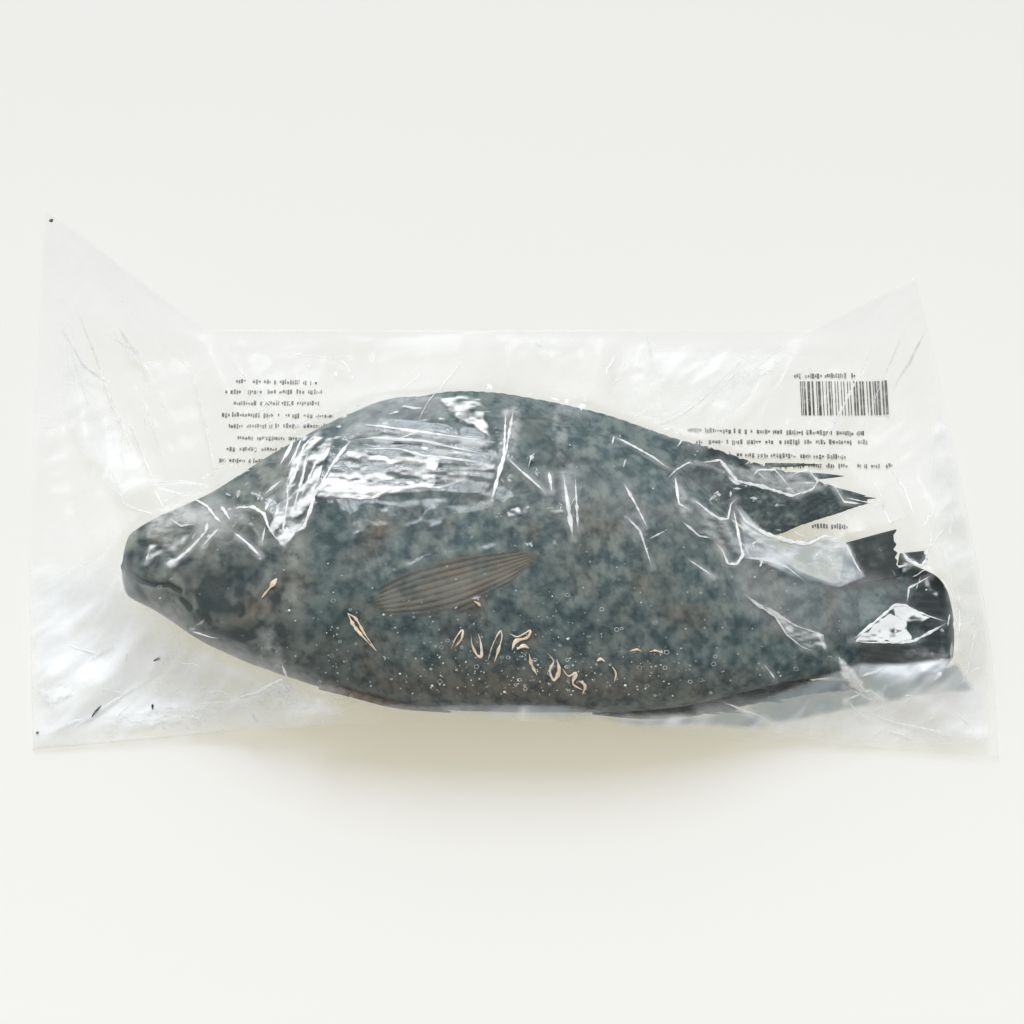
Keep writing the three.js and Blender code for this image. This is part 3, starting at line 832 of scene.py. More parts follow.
def pectoral_fin(material, body):
    """The fin laid back along the flank: a leaf as wide as the sine of pi times a power
    of its length, resting on the skin below it, with rays fanning from its root."""
    f = PECTORAL_FIN
    u = np.linspace(0, 1, 150)[None]
    c = np.linspace(-1, 1, 46)[:, None]
    half = f["half_width"] * np.sin(np.pi * u ** 0.78) + 1.4 - 0.6 * u
    run = np.array([f["to_x"] - f["x"], f["to_y"] - f["y"]])
    side = np.array([-run[1], run[0]]) / np.linalg.norm(run)
    ray = np.cos(c * np.pi * 9 + 0.6 * np.sin(u * 5))
    x = f["x"] + run[0] * u + side[0] * half * c
    y = f["y"] + run[1] * u + side[1] * half * c - 2.5 * np.sin(np.pi * u)
    level = Cover([body])(x, y)
    z = level + 0.12 + 0.006 * half * ray * (1 - c ** 2) + 0.1 * (1 + noise(x, y, 12, 61))
    points, faces = closed_sheet(np.stack([x, y, z], -1), 0.4 * np.sqrt(1.03 - c ** 2))
    faint = 0.9 * c ** 2 + np.exp(-u / 0.12) + 0.3 * noise(x, y, 6, 62) - 0.15 * ray
    faint += 0.2 * np.clip(-c, 0, 1) + 1.0 * ramp((u - 0.75) / 0.25)
    faint = ease(np.clip(faint, 0.05, 1))
    make_piece("pectoral_fin", points, [faces], material, "fin",
               ray=both_faces((0.5 - 0.5 * ray) * np.clip(half / 7, 0, 1)),
               brown=both_faces(0.4 - 0.1 * u + 0 * c),
               root=both_faces(0.25 + 0.3 * noise(x, y, 9, 63)), fade=both_faces(faint))
    return points


def tail_sheet():
    """The tail spread from its root to its tip, line by line across it; past the tip less the
    roll it turns up and back on a circle, so that its end is a rolled edge. Gives its points
    and three layers: ray, brown and root."""
    f = TAIL_FIN
    c = np.linspace(0, 1, 150)[:, None]
    root_y, tip_x, tip_y = (smooth(f["across"], f[name])(c) for name in ("root_y", "tip_x", "tip_y"))
    run_x, run_y = tip_x - f["root_x"], tip_y - root_y
    reach = np.hypot(run_x, run_y) - f["roll"]
    ray = np.cos(2 * np.pi * f["rays"] * c)
    along = np.linspace(0, 1, 130)[None] * (reach + 9 + 1.5 * noise(c * 40, 0 * c, 7, 71))
    past = np.clip(along - reach, 0, None) / f["roll"]
    r = (np.minimum(along, reach) + f["roll"] * np.sin(past)) / (reach + f["roll"])
    x, y = f["root_x"] + run_x * r, root_y + run_y * ramp(r) * 0.4 + run_y * r * 0.6
    z = lerp(f["root_z"], f["tip_z"], np.clip(r, 0, 1)) + f["roll"] * (1 - np.cos(past))
    z = z + 0.05 * ray * np.cos(past) + 0.9 * noise(x, y, 15, 72)
    brown = 0.22 * ramp((0.42 - c) / 0.2) * np.clip((x - 124) / 8, 0, 1)
    root = np.clip((152 + 8 * noise(x, y, 12, 73) - x) / 10, 0, 1) * ramp((c - 0.24) / 0.25)
    return np.stack([x, y, z], -1), 0.5 - 0.5 * ray + 0 * along, brown + 0.05, 0.95 * root


def tail_flap(corners, columns, rows, rays, seed):
    """A torn flap of the tail between four corners, rayed along, its far end jagged. Gives
    the same as the tail's sheet."""
    near_low, far_low, far_high, near_high = np.array(corners, float)
    u = np.linspace(0, 1, columns)[None, :, None]
    c = np.linspace(0, 1, rows)[:, None, None]
    ray = np.cos(2 * np.pi * rays * c[..., 0]) + 0 * u[..., 0]
    torn = 1 - 0.02 * (1 - ray[..., None]) * u - 0.05 * noise(c * 50, 0 * c, 6, seed) * u
    points = lerp(lerp(near_low, far_low, u * torn), lerp(near_high, far_high, u * torn), c)
    points[..., 2] += 0.03 * ray + 0.9 * noise(points[..., 0], points[..., 1], 9, seed)
    return points, 0.5 - 0.5 * ray, np.full(ray.shape, 0.15), np.zeros(ray.shape)


def tail_fin(material):
    """The tail, its upper flap folded over, and a small torn piece beside it."""
    sheets = [tail_sheet()] + [tail_flap(*flap) for flap in TAIL_FLAPS]
    points, faces = joined([closed_sheet(sheet[0], 0.9) for sheet in sheets])
    doubled = [[both_faces(layer) for layer in sheet[1:]] for sheet in sheets]
    ray, brown, root = (np.concatenate(layer) for layer in zip(*doubled))
    make_piece("tail_fin", points, [faces], material, "fin", ray=ray, brown=brown, root=root)
    return points


# ---------------------------------------------------------------- what the film lies on
class Cover:
    """A map of the highest point of some clouds of points, in square cells; each cell also
    takes the height of the highest cell beside it."""

    CELL = 1.0
    COLUMNS, ROWS = 400, 240

    def __init__(self, clouds, lowest=False):
        self.sign = -1 if lowest else 1
        self.heights = np.full((self.COLUMNS, self.ROWS), -np.inf)
        for cloud in clouds:
            cell = self.cell(cloud[:, 0], cloud[:, 1])
            np.maximum.at(self.heights, cell, self.sign * cloud[:, 2])
        for axis in (0, 1):
            sides = [np.roll(self.heights, step, axis) for step in (-1, 1)]
            self.heights = np.maximum(self.heights, np.maximum(*sides))

    def cell(self, x, y):
        """The column and row of the cell that each point is in."""
        column = np.floor(x / self.CELL + self.COLUMNS / 2).astype(int)
        row = np.floor(y / self.CELL + self.ROWS / 2).astype(int)
        return np.clip(column, 0, self.COLUMNS - 1), np.clip(row, 0, self.ROWS - 1)

    def __call__(self, x, y):
        """Heights between the cells' middles; minus infinity beside everything."""
        u, v = x - 0.5 * self.CELL, y - 0.5 * self.CELL
        a, b = u / self.CELL % 1, v / self.CELL % 1
        rows = []
        for dy in (0, 1):
            here, there = (self.heights[self.cell(u + dx * self.CELL, v + dy * self.CELL)]
                           for dx in (0, 1))
            rows.append(np.where(np.isfinite(here + there), lerp(here, there, a),
                                 np.maximum(here, there)))
        both = np.isfinite(rows[0] + rows[1])
        return self.sign * np.where(both, lerp(rows[0], rows[1], b), np.maximum(*rows))


# ---------------------------------------------------------------- the film
FILM_COLUMNS, FILM_ROWS = 360, 212
LOWER_STEP = 2  # the lower film has one cell for this many of the upper, each way
FILM_GAP = 0.35  # between the settled film and what it lies on
SKIN_GAP = 0.2  # the least that crinkles leave of it
LOWEST = 0.1  # of the lower film, above the table
WELD = 0.6  # thickness of the edge
PILLOW = 2.2  # height of the loose film
SAG = 0.05
LAID_ON = 0.12  # how far small things stand above the film or skin they lie on
GLARE_CELL = 0.5
# the haze beside a crease is a painted sheen
HALO = 1.5  # reach of the haze beside a crease
PINCH = 0.75  # width of a ridge, of the width its crease is given
CRINKLE_SIZES = [  # facets of the loose film: height, size, seed, stretch, heading
    (0.6, 17, 101, 1.7, 0.5), (0.45, 11, 104, 1.9, 2.2), (0.35, 5, 107, 1.4, 1.1),
]
LOOSE_SPOTS = [  # where the film is looser than elsewhere on the fish: nape, cheek, tail
    (0.35, -32, 22, 45, 16), (0.25, -108, -20, 26, 30), (0.4, 145, -45, 26, 30),
]
FOLD_HALF_WIDTH = 9
FOLDS = [  # large folds: from x, y to x, y, and their height
    (-180, 104, -126, 6, 5), (-176, 96, -158, -16, 3.5), (-122, 68, -92, 6, 4),
    (160, 80, 112, 2, 4.5), (122, 68, 88, 12, 3.5), (164, 64, 172, -30, 3.5),
    (-174, -100, -126, -52, 3.5), (180, -103, 132, -74, 3.5), (-158, 8, -124, -14, 3),
    (-12, 68, -4, 24, 4), (40, 68, 28, 14, 4), (-60, 68, -70, 14, 3.5),
    (-100, -98, -82, -78, 2.5),
]


def film_plan(columns, rows):
    """The bag's plan as a grid: straight lines from its head edge to its tail edge, spread
    between its front and back edges."""
    s, t = np.linspace(0, 1, columns + 1)[None], np.linspace(0, 1, rows + 1)[:, None]
    front = lerp(HEAD_EDGE["x"][0], TAIL_EDGE["x"][0], s)
    back = lerp(HEAD_EDGE["x"][-1], TAIL_EDGE["x"][-1], s)
    head = smooth(HEAD_EDGE["share"], HEAD_EDGE["x"])(t)
    tail = smooth(TAIL_EDGE["share"], TAIL_EDGE["x"])(t)
    front_y = smooth(FRONT_EDGE["x"], FRONT_EDGE["y"])(front)
    return lerp(head, tail, s), lerp(front_y, np.interp(back, BACK_EDGE["x"], BACK_EDGE["y"]), t)


def film_edge(columns, rows):
    """The height of the bag's edge round a grid, and which of its points are on the edge."""
    s, t = np.linspace(0, 1, columns + 1), np.linspace(0, 1, rows + 1)
    height, on_edge = np.zeros((rows + 1, columns + 1)), np.ones((rows + 1, columns + 1), bool)
    on_edge[1:-1, 1:-1] = False
    height[:, 0] = smooth(HEAD_EDGE["share"], HEAD_EDGE["z"])(t)
    height[:, -1] = smooth(TAIL_EDGE["share"], TAIL_EDGE["z"])(t)
    front = lerp(HEAD_EDGE["x"][0], TAIL_EDGE["x"][0], s)
    height[0] = smooth(FRONT_EDGE["x"], FRONT_EDGE["z"])(front)
    back = lerp(HEAD_EDGE["x"][-1], TAIL_EDGE["x"][-1], s)
    height[-1] = np.interp(back, BACK_EDGE["x"], BACK_EDGE["z"])
    return height, on_edge


def settle(x, y, height, fixed, under, over, sweeps):
    """Lets a film settle, chequerboard half by half: each point goes past the weighted mean of
    its four neighbours less the sag, and is held between what is under it and over it."""
    east, west = (slice(1, -1), slice(2, None)), (slice(1, -1), slice(0, -2))
    north, south = (slice(2, None), slice(1, -1)), (slice(0, -2), slice(1, -1))
    inner = (slice(1, -1), slice(1, -1))
    sides = [(side, 1 / ((x[side] - x[inner]) ** 2 + (y[side] - y[inner]) ** 2))
             for side in (east, west, north, south)]
    total = sum(weight for _, weight in sides)
    row, column = np.indices(total.shape)
    halves = [((row + column) % 2 == half) & ~fixed[inner] for half in (0, 1)]
    for _ in range(sweeps):
        for half in halves:
            mean = (sum(height[side] * weight for side, weight in sides) - SAG) / total
            moved = lerp(height[inner], mean, 1.8)
            moved = np.clip(moved, under[inner], over[inner])
            height[inner] = np.where(half, moved, height[inner])
    return height


def blurred(grid, times):
    """Each value made the mean of itself and its four neighbours, so many times."""
    for _ in range(times):
        grid = (grid + np.roll(grid, 1, 0) + np.roll(grid, -1, 0)
                + np.roll(grid, 1, 1) + np.roll(grid, -1, 1)) / 5
    return grid


def finer(grid, rows, columns):
    """The grid resampled to that many rows and columns along straight lines."""
    old_rows, old_columns = grid.shape
    at = np.linspace(0, old_columns - 1, columns)
    wide = np.array([np.interp(at, np.arange(old_columns), row) for row in grid])
    at = np.linspace(0, old_rows - 1, rows)
    return np.array([np.interp(at, np.arange(old_rows), column) for column in wide.T]).T


def settled_film(columns, rows, under_of, over_of, edge_lift):
    """A film settled on grids of three finenesses, each starting from the one before."""
    height = None
    for step, sweeps in ((4, 160), (2, 120), (1, 90)):
        x, y = film_plan(columns // step, rows // step)
        edge, fixed = film_edge(columns // step, rows // step)
        edge = np.maximum(edge + edge_lift, 0)
        under, over = under_of(x, y), over_of(x, y)
        if height is None:
            height = np.clip(np.full(x.shape, PILLOW), under, over)
        else:
            height = finer(height, *x.shape)
        height = np.where(fixed, edge, height)
        height = settle(x, y, height, fixed, under, over, sweeps)
    return x, y, height


def folds(x, y):
    """How far the large folds lift the film: eased ridges that fade to their ends."""
    height = np.zeros(x.shape)
    for x0, y0, x1, y1, ridge in FOLDS:
        along, off = from_segment(x, y, x0, y0, x1, y1)
        rise = ramp(1 - off / FOLD_HALF_WIDTH)
        height = np.maximum(height, ridge * np.sin(np.pi * np.clip(along, 0, 1)) * rise)
    return height


FANS = [  # of long creases: the corner they leave, the middle of where they end, spread, number
    (-176, 94, -132, 20, 26, 4), (-176, -98, -146, -86, 14, 3),
    (158, 76, 128, 20, 34, 4), (181, -102, 146, -90, 16, 3), (-118, 66, -80, 30, 34, 3),
    (120, 66, 70, 28, 34, 4), (0, 68, 0, 42, 60, 5),
]
CRINKLES = [  # crowds of fine creases: middle, reaches, heading and its spread, number, longest
    (-146, 56, 28, 34, -60, 18, 9, 36), (-138, -78, 30, 16, 20, 26, 20, 14),
    (-112, -88, 24, 6, -10, 40, 24, 8), (150, -86, 26, 12, 25, 30, 14, 15),
    (168, -10, 8, 66, 78, 20, 14, 26), (20, 54, 110, 10, 78, 20, 22, 12),
    (-116, -14, 22, 18, 40, 40, 26, 6), (-92, 22, 16, 18, 65, 22, 22, 10),
    (100, -2, 30, 14, -20, 45, 24, 6), (112, -30, 24, 9, -25, 40, 18, 6),
    (150, -45, 14, 22, 50, 50, 14, 6), (30, -4, 60, 24, 70, 25, 10, 7),
    (-40, 12, 38, 12, 6, 10, 24, 12),
]


def fan_creases():
    """Seeded long creases that leave the corners in fans, and end here and there."""
    draw = np.random.default_rng(17)
    creases = []
    for x0, y0, x1, y1, spread, number in FANS:
        for share in np.linspace(-1, 1, number):
            start, end = draw.uniform(0.03, 0.35), draw.uniform(0.6, 1.25)
            near = np.array([x0, y0]) + share * spread * 0.35 * np.array([1, -0.4])
            far = np.array([x1, y1]) + (share + draw.uniform(-0.2, 0.2)) * spread * np.array([0.8, 0.7])
            stops = lerp(near, far, np.linspace(start, end, 5)[:, None])
            stops += draw.normal(0, 0.25, (5, 2))
            creases.append((stops, draw.uniform(0.3, 0.9), draw.uniform(0.1, 0.6)))
    return creases


def fine_creases():
    """Seeded short creases in crowds, each a slightly broken line with its width and whiteness."""
    draw = np.random.default_rng(43)
    creases = []
    for cx, cy, reach_x, reach_y, heading, spread, number, longest in CRINKLES:
        for _ in range(number):
            middle = np.array([cx + reach_x * draw.uniform(-1, 1), cy + reach_y * draw.uniform(-1, 1)])
            turn = math.radians(heading + spread * draw.normal())
            run = longest * draw.uniform(0.35, 1) ** 2 * np.array([math.cos(turn), math.sin(turn)])
            stops = np.linspace(-0.5, 0.5, 4)[:, None] * run
            stops += draw.normal(0, 0.035 * np.hypot(*run), (4, 2))
            creases.append((middle + stops, draw.uniform(0.3, 1.1), draw.uniform(0.1, 0.7)))
    return creases


# Where the picture shows the film creased and hazed, and white with highlights and glare, which are
# painted here. Points are in pixels of the picture and everything else is in millimetres.
CREASES = [  # width, whiteness, points
    (0.9, 0.9, [(356, 424), (404, 430), (450, 436), (487, 441)]),
    (0.9, 0.8, [(351, 440), (376, 438), (423, 441), (459, 449), (497, 456)]),
    (1.1, 0.7, [(356, 449), (400, 449), (423, 456), (487, 463)]),
    (1.2, 0.8, [(317, 493), (340, 497), (358, 495), (372, 498), (386, 491), (418, 486), (440, 488),
                (464, 479)]),
    (1.0, 0.8, [(351, 440), (330, 468), (317, 493)]),
    (0.8, 0.8, [(504, 455), (520, 470), (545, 492)]), (1.3, 0.9, [(506, 410), (504, 455), (491, 503)]),
    (1.1, 0.6, [(514, 408), (506, 452), (500, 478)]), (1.0, 0.8, [(549, 472), (552, 492)]),
    (1.2, 0.7, [(563, 472), (568, 505), (573, 539)]), (0.8, 0.6, [(575, 476), (578, 529)]),
    (0.7, 0.7, [(614, 436), (653, 457), (671, 470)]), (0.6, 0.5, [(614, 436), (612, 445)]),
    (1.0, 0.8, [(624, 484), (636, 505), (647, 527)]), (0.8, 0.6, [(626, 516), (640, 531), (652, 568)]),
    (0.6, 0.6, [(688, 559), (714, 577)]), (0.6, 0.5, [(649, 539), (665, 531)]),
    (1.0, 0.9, [(190, 497), (207, 506), (216, 518), (223, 524)]), (1.2, 0.9, [(221, 506), (230, 520)]),
    (1.0, 0.9, [(233, 508), (253, 507), (264, 514), (268, 526), (275, 537), (285, 546)]),
    (1.5, 0.95, [(285, 546), (291, 534), (304, 527), (311, 508), (314, 495), (322, 481)]),
    (0.8, 0.8, [(282, 535), (285, 517), (288, 500), (287, 480)]), (0.7, 0.8, [(262, 543), (265, 527)]),
    (0.7, 0.8, [(271, 498), (265, 511)]), (0.8, 0.8, [(282, 480), (265, 494)]),
    (0.9, 0.9, [(219, 528), (203, 546)]), (1.1, 0.9, [(210, 527), (192, 547), (172, 564)]),
    (0.8, 0.7, [(146, 561), (150, 550)]), (0.9, 0.9, [(233, 532), (247, 543), (261, 557)]),
    (0.7, 0.6, [(169, 518), (181, 526), (195, 524)]), (0.9, 0.8, [(296, 436), (289, 450), (280, 465)]),
    (0.8, 0.8, [(302, 438), (295, 455), (287, 468)]),
    (1.1, 0.8, [(318, 432), (304, 446), (297, 470), (284, 496)]),
    (1.0, 0.7, [(308, 450), (303, 476), (296, 500), (292, 520)]),
    (0.8, 0.7, [(330, 440), (316, 462), (300, 500)]),
    (0.7, 0.7, [(667, 479), (676, 470), (690, 462), (693, 465)]),
    (1.2, 0.8, [(675, 477), (679, 504), (690, 510)]),
    (1.0, 0.8, [(693, 499), (710, 513), (720, 519), (728, 519), (731, 504), (737, 498)]),
    (0.9, 0.8, [(733, 508), (739, 538), (743, 555), (737, 564), (728, 564), (722, 550), (712, 538)]),
    (0.8, 0.6, [(712, 538), (699, 536), (682, 521)]),
    (1.3, 0.9, [(736, 506), (745, 521), (766, 534), (792, 542), (808, 544), (825, 536), (844, 540)]),
    (1.0, 0.8, [(844, 540), (851, 555), (863, 576)]),
    (0.9, 0.7, [(743, 557), (766, 560), (787, 567), (806, 582)]),
    (0.9, 0.5, [(743, 593), (758, 605), (775, 616), (787, 635), (802, 647), (815, 652)]),
    (0.9, 0.4, [(758, 603), (777, 614), (796, 626), (823, 635), (825, 647)]),
    (0.7, 0.7, [(764, 664), (775, 679)]),
    (1.2, 0.8, [(695, 463), (720, 460), (728, 470), (737, 481), (764, 487), (792, 496), (819, 487)]),
    (0.8, 0.8, [(752, 477), (758, 470), (775, 470), (783, 479), (796, 496)]),
    (0.8, 0.8, [(787, 479), (796, 473), (808, 470), (818, 481), (813, 489), (798, 496)]),
    (0.6, 0.6, [(794, 483), (817, 483)]), (0.8, 0.8, [(834, 485), (844, 502), (861, 504)]),
    (0.5, 0.6, [(846, 498), (876, 504)]), (0.7, 0.7, [(872, 479), (890, 523), (912, 515)]),
    (0.7, 0.7, [(882, 458), (905, 489), (914, 515)]), (0.8, 0.8, [(907, 603), (909, 588), (930, 576)]),
    (0.6, 0.6, [(117, 485), (124, 504), (158, 517)]), (0.7, 0.8, [(154, 488), (166, 514)]),
    (0.8, 0.9, [(154, 486), (180, 494), (210, 492)]), (0.8, 0.9, [(154, 483), (180, 481), (207, 485)]),
    (0.6, 0.6, [(110, 419), (130, 423), (154, 483)]), (0.6, 0.7, [(110, 465), (121, 493)]),
    (0.9, 0.9, [(232, 699), (256, 693), (281, 679), (293, 696)]),
    (0.7, 0.8, [(275, 700), (279, 690), (284, 700)]), (0.8, 0.8, [(282, 665), (288, 680), (294, 694)]),
    (1.0, 0.95, [(851, 641), (895, 605), (905, 605), (948, 622)]),
    (1.0, 0.95, [(948, 622), (914, 641), (851, 641)]), (0.8, 0.7, [(958, 590), (960, 626), (956, 650)]),
    (1.0, 0.8, [(900, 548), (908, 560), (922, 566), (928, 556)]),
    (0.8, 0.8, [(838, 659), (872, 700), (844, 686)]),
    (0.6, 0.6, [(720, 700), (760, 716), (800, 738)]), (0.7, 0.6, [(846, 700), (870, 690), (884, 700)]),
]
# painted glare patches, each standing for light the film mirrors
GLARES = [  # whiteness, soft margin, the grain's size, its stretch and heading, corners
    (1.05, 0.8, 2.3, 6, 0.0, [(351, 446), (423, 447), (440, 451), (434, 485), (418, 488), (386, 493),
                              (358, 499), (316, 496), (330, 470)]),
    (0.7, 1.2, 2, 7, 0.05, [(434, 449), (496, 458), (494, 470), (464, 480), (432, 486)]),
    (0.3, 3.2, 2.4, 6, 0.05, [(356, 424), (404, 430), (487, 441), (496, 456), (423, 444), (351, 442)]),
    (0.9, 0.8, 2.6, 2.6, 1.1, [(304, 436), (332, 438), (320, 475), (308, 518), (285, 547), (268, 530),
                               (284, 497), (292, 460)]),
    (1.0, 1.4, 5, 2.2, 0.9, [(440, 398), (480, 396), (488, 435), (470, 424), (452, 412)]),
    (2.2, 0.8, 4.4, 1.6, 0.5, [(855, 640), (876, 624), (892, 614), (905, 622), (912, 640)]),
    (2.0, 0.8, 4, 1.5, 0.2, [(893, 608), (905, 606), (930, 617), (903, 624)]),
    (0.8, 1.2, 4, 1.5, 1.2, [(920, 574), (926, 574), (939, 601), (922, 582)]),
    (0.7, 1.6, 3, 1.5, 0.4, [(902, 550), (912, 556), (918, 565), (903, 571)]),
    (0.75, 1.4, 4, 2, -1.0, [(838, 658), (846, 662), (872, 698), (843, 681)]),
    (0.8, 1.2, 9, 1.6, -0.6, [(777, 614), (800, 628), (823, 635), (824, 648), (803, 645), (787, 634)]),
    (0.8, 2.4, 3.4, 2, 0.8, [(146, 563), (167, 563), (173, 567), (186, 536), (165, 548), (150, 545)]),
    (0.8, 1.2, 3, 1.5, 0.3, [(233, 513), (245, 512), (258, 534)]),
    (0.85, 1, 2.4, 1.5, 0.2, [(728, 473), (752, 477), (749, 485), (735, 483)]),
    (0.98, 0.8, 2.4, 1.6, 0.1, [(505, 513), (518, 507), (526, 513), (512, 519)]),
    (0.85, 1, 2.4, 1.6, 0.1, [(544, 511), (556, 506), (561, 512)]),
    (0.34, 3, 6, 1.5, 0.8, [(150, 512), (186, 500), (200, 526), (176, 552), (150, 556)]),
    (0.3, 3.2, 5, 1.5, 0.8, [(176, 514), (206, 508), (222, 524), (196, 546)]),
    (0.6, 2, 3, 4, -0.5, [(741, 508), (752, 520), (772, 537), (803, 542), (805, 552), (772, 549),
                          (750, 538), (742, 524)]),
    (0.3, 3.2, 5, 2, -0.6, [(742, 524), (750, 536), (772, 547), (806, 550), (807, 574), (790, 572),
                            (766, 562), (745, 556)]),
    (0.55, 2.2, 3, 3, 0.3, [(811, 544), (829, 535), (848, 545), (846, 552), (812, 556)]),
    (0.35, 3, 4, 2, -1.0, [(813, 553), (846, 550), (864, 576), (850, 580), (838, 586), (818, 578)]),
    (0.3, 3.2, 3, 2, 1.3, [(512, 406), (524, 405), (514, 452), (506, 452)]),
    (0.18, 3.7, 5, 3, 1.4, [(551, 408), (560, 405), (572, 455), (578, 530), (566, 530), (558, 460)]),
    (0.3, 3.2, 5, 2, -0.8, [(672, 478), (700, 508), (742, 530), (743, 556), (712, 538), (682, 516)]),
    (0.3, 3.2, 4, 2, -0.3, [(695, 463), (737, 478), (764, 486), (790, 495), (819, 488), (796, 472),
                            (740, 462)]),
    (0.25, 3.4, 4, 2, 1.2, [(258, 632), (272, 628), (286, 662), (276, 670)]),
    (1.1, 3, 5, 2, 0.3, [(160, 684), (200, 703), (240, 700), (262, 690), (285, 678), (292, 690),
                         (262, 704), (220, 712), (180, 708)]),
    (1.1, 3, 4, 2, 0.5, [(138, 690), (150, 676), (164, 672), (160, 690), (146, 700)]),
    (1.1, 3, 6, 2, 0.2, [(40, 690), (66, 684), (72, 694), (50, 704)]),
    (1.1, 3, 4, 2, 0.1, [(268, 702), (300, 690), (330, 704), (326, 714), (290, 714)]),
    (1.1, 3, 5, 2, 0.3, [(90, 722), (170, 706), (190, 716), (110, 734)]),
    (0.5, 2.4, 3, 2, 0.6, [(866, 706), (880, 700), (884, 712), (872, 718)]),
]
# Mist is the film's milkiness; over the fish it also stands as painted sheen, and grey mist is painted
# shade.
SHADES = [  # where loose film hazes what is below it: how misty, how grey, soft margin, corners
    (0.74, 0.2, 18, [(31, 570), (104, 552), (140, 606), (215, 656), (330, 704), (300, 720), (200, 732),
                      (100, 742), (33, 750)]),
    (0.7, 0.18, 4, [(176, 640), (208, 652), (262, 678), (330, 702), (350, 712), (300, 716), (230, 710),
                    (186, 676)]),
    (0.8, 1.0, 2, [(330, 699), (420, 710), (500, 712), (560, 712), (640, 717), (700, 714), (740, 707),
                    (790, 696), (850, 678), (960, 664), (975, 690), (860, 706), (760, 727), (640, 724),
                    (560, 722), (400, 722)]),
    (0.85, 0.9, 2.4, [(740, 706), (790, 690), (846, 670), (862, 664), (950, 660), (940, 680), (860, 702),
                      (780, 714)]),
    (0.66, 0.16, 9, [(700, 712), (860, 690), (960, 668), (985, 680), (988, 742), (880, 740), (760, 728)]),
    (0.4, 0.1, 9, [(60, 300), (110, 420), (160, 480), (120, 500), (60, 420)]),
    (0.3, 0.1, 9, [(640, 340), (800, 350), (700, 450), (620, 410)]),
    (0.4, 0.3, 6, [(940, 400), (965, 500), (990, 640), (985, 690), (955, 660), (930, 440)]),
    (0.72, 1.0, 1.5, [(741, 508), (752, 520), (772, 537), (803, 542), (829, 535), (848, 545), (864, 576),
                      (838, 586), (790, 574), (766, 562), (745, 556)]),
    (0.13, 0.4, 9, [(730, 558), (850, 572), (908, 582), (884, 616), (850, 630), (800, 645), (736, 604)]),
    (0.07, 0.3, 14, [(540, 470), (720, 470), (742, 540), (700, 560), (600, 520), (540, 500)]),
    (0.2, 0.3, 8, [(350, 398), (440, 394), (450, 415), (400, 425), (340, 440)]),
    (0.26, 0.3, 6, [(560, 404), (584, 408), (600, 416), (566, 416)]),
    (0.26, 0.2, 7, [(186, 506), (216, 494), (240, 516), (226, 540), (196, 536)]),
]


def inside(x, y, corners, soft):
    """How far inside a polygon: 0 outside, 1 from the soft margin inwards. A point is inside if
    a line from it crosses the outline an odd number of times."""
    crossed, off = np.zeros(x.shape, bool), np.full(x.shape, np.inf)
    for (x0, y0), (x1, y1) in zip(corners, np.roll(corners, -1, axis=0)):
        at = x0 + (y - y0) * (x1 - x0) / (y1 - y0 + 1e-9)
        crossed ^= ((y0 > y) != (y1 > y)) & (x < at)
        off = np.minimum(off, from_segment(x, y, x0, y0, x1, y1)[1])
    return ramp(np.where(crossed, off, -off) / soft + 0.5)


def upper_film(parts):
    """The upper film drawn over the parts and crinkled: by facets of three sizes where it is
    loose, by large folds, and by ripples, the sum of two sines, on the nape. Gives its grid, the
    height of the parts below it, and a soft mask of where they are."""
    top = Cover(parts)
    x, y, settled = settled_film(
        FILM_COLUMNS, FILM_ROWS, lambda x, y: np.maximum(top(x, y) + FILM_GAP, PILLOW),
        lambda x, y: np.full(x.shape, np.inf), WELD / 2)
    skin = top(x, y)
    on_fish = blurred(np.isfinite(skin) * 1.0, 6)
    fixed = film_edge(FILM_COLUMNS, FILM_ROWS)[1]
    to_edge = np.minimum.reduce([np.abs(y - y[:1]), np.abs(y - y[-1:]),
                                 np.abs(x - x[:, :1]), np.abs(x - x[:, -1:])])
    loose = lerp(1.0, 0.28, on_fish) + spots(x, y, LOOSE_SPOTS)
    crinkle = sum(rise * (1 + facets(x, y, *kind)) for rise, *kind in CRINKLE_SIZES)
    height = settled + loose * crinkle * ramp(to_edge / 8) + folds(x, y) * ~fixed
    streak = y + 0.1 * x + 3 * noise(x, y, 22, 131)
    ripple = np.sin(streak / 1.15) + 0.7 * np.sin(streak / 0.7 + 3 * noise(x, y, 12, 132))
    height += 0.17 * spot(x, y, -42, 0, 38, 20) * ripple * (1 + 0.5 * noise(x, y, 9, 133))
    height += 0.14 * loose * on_fish * facets(x, y, 4, 134, 2.2, 0.15)
    height = np.maximum(height, np.maximum(skin + SKIN_GAP, 1.0))
    return x, y, np.where(fixed, settled, height), skin, on_fish


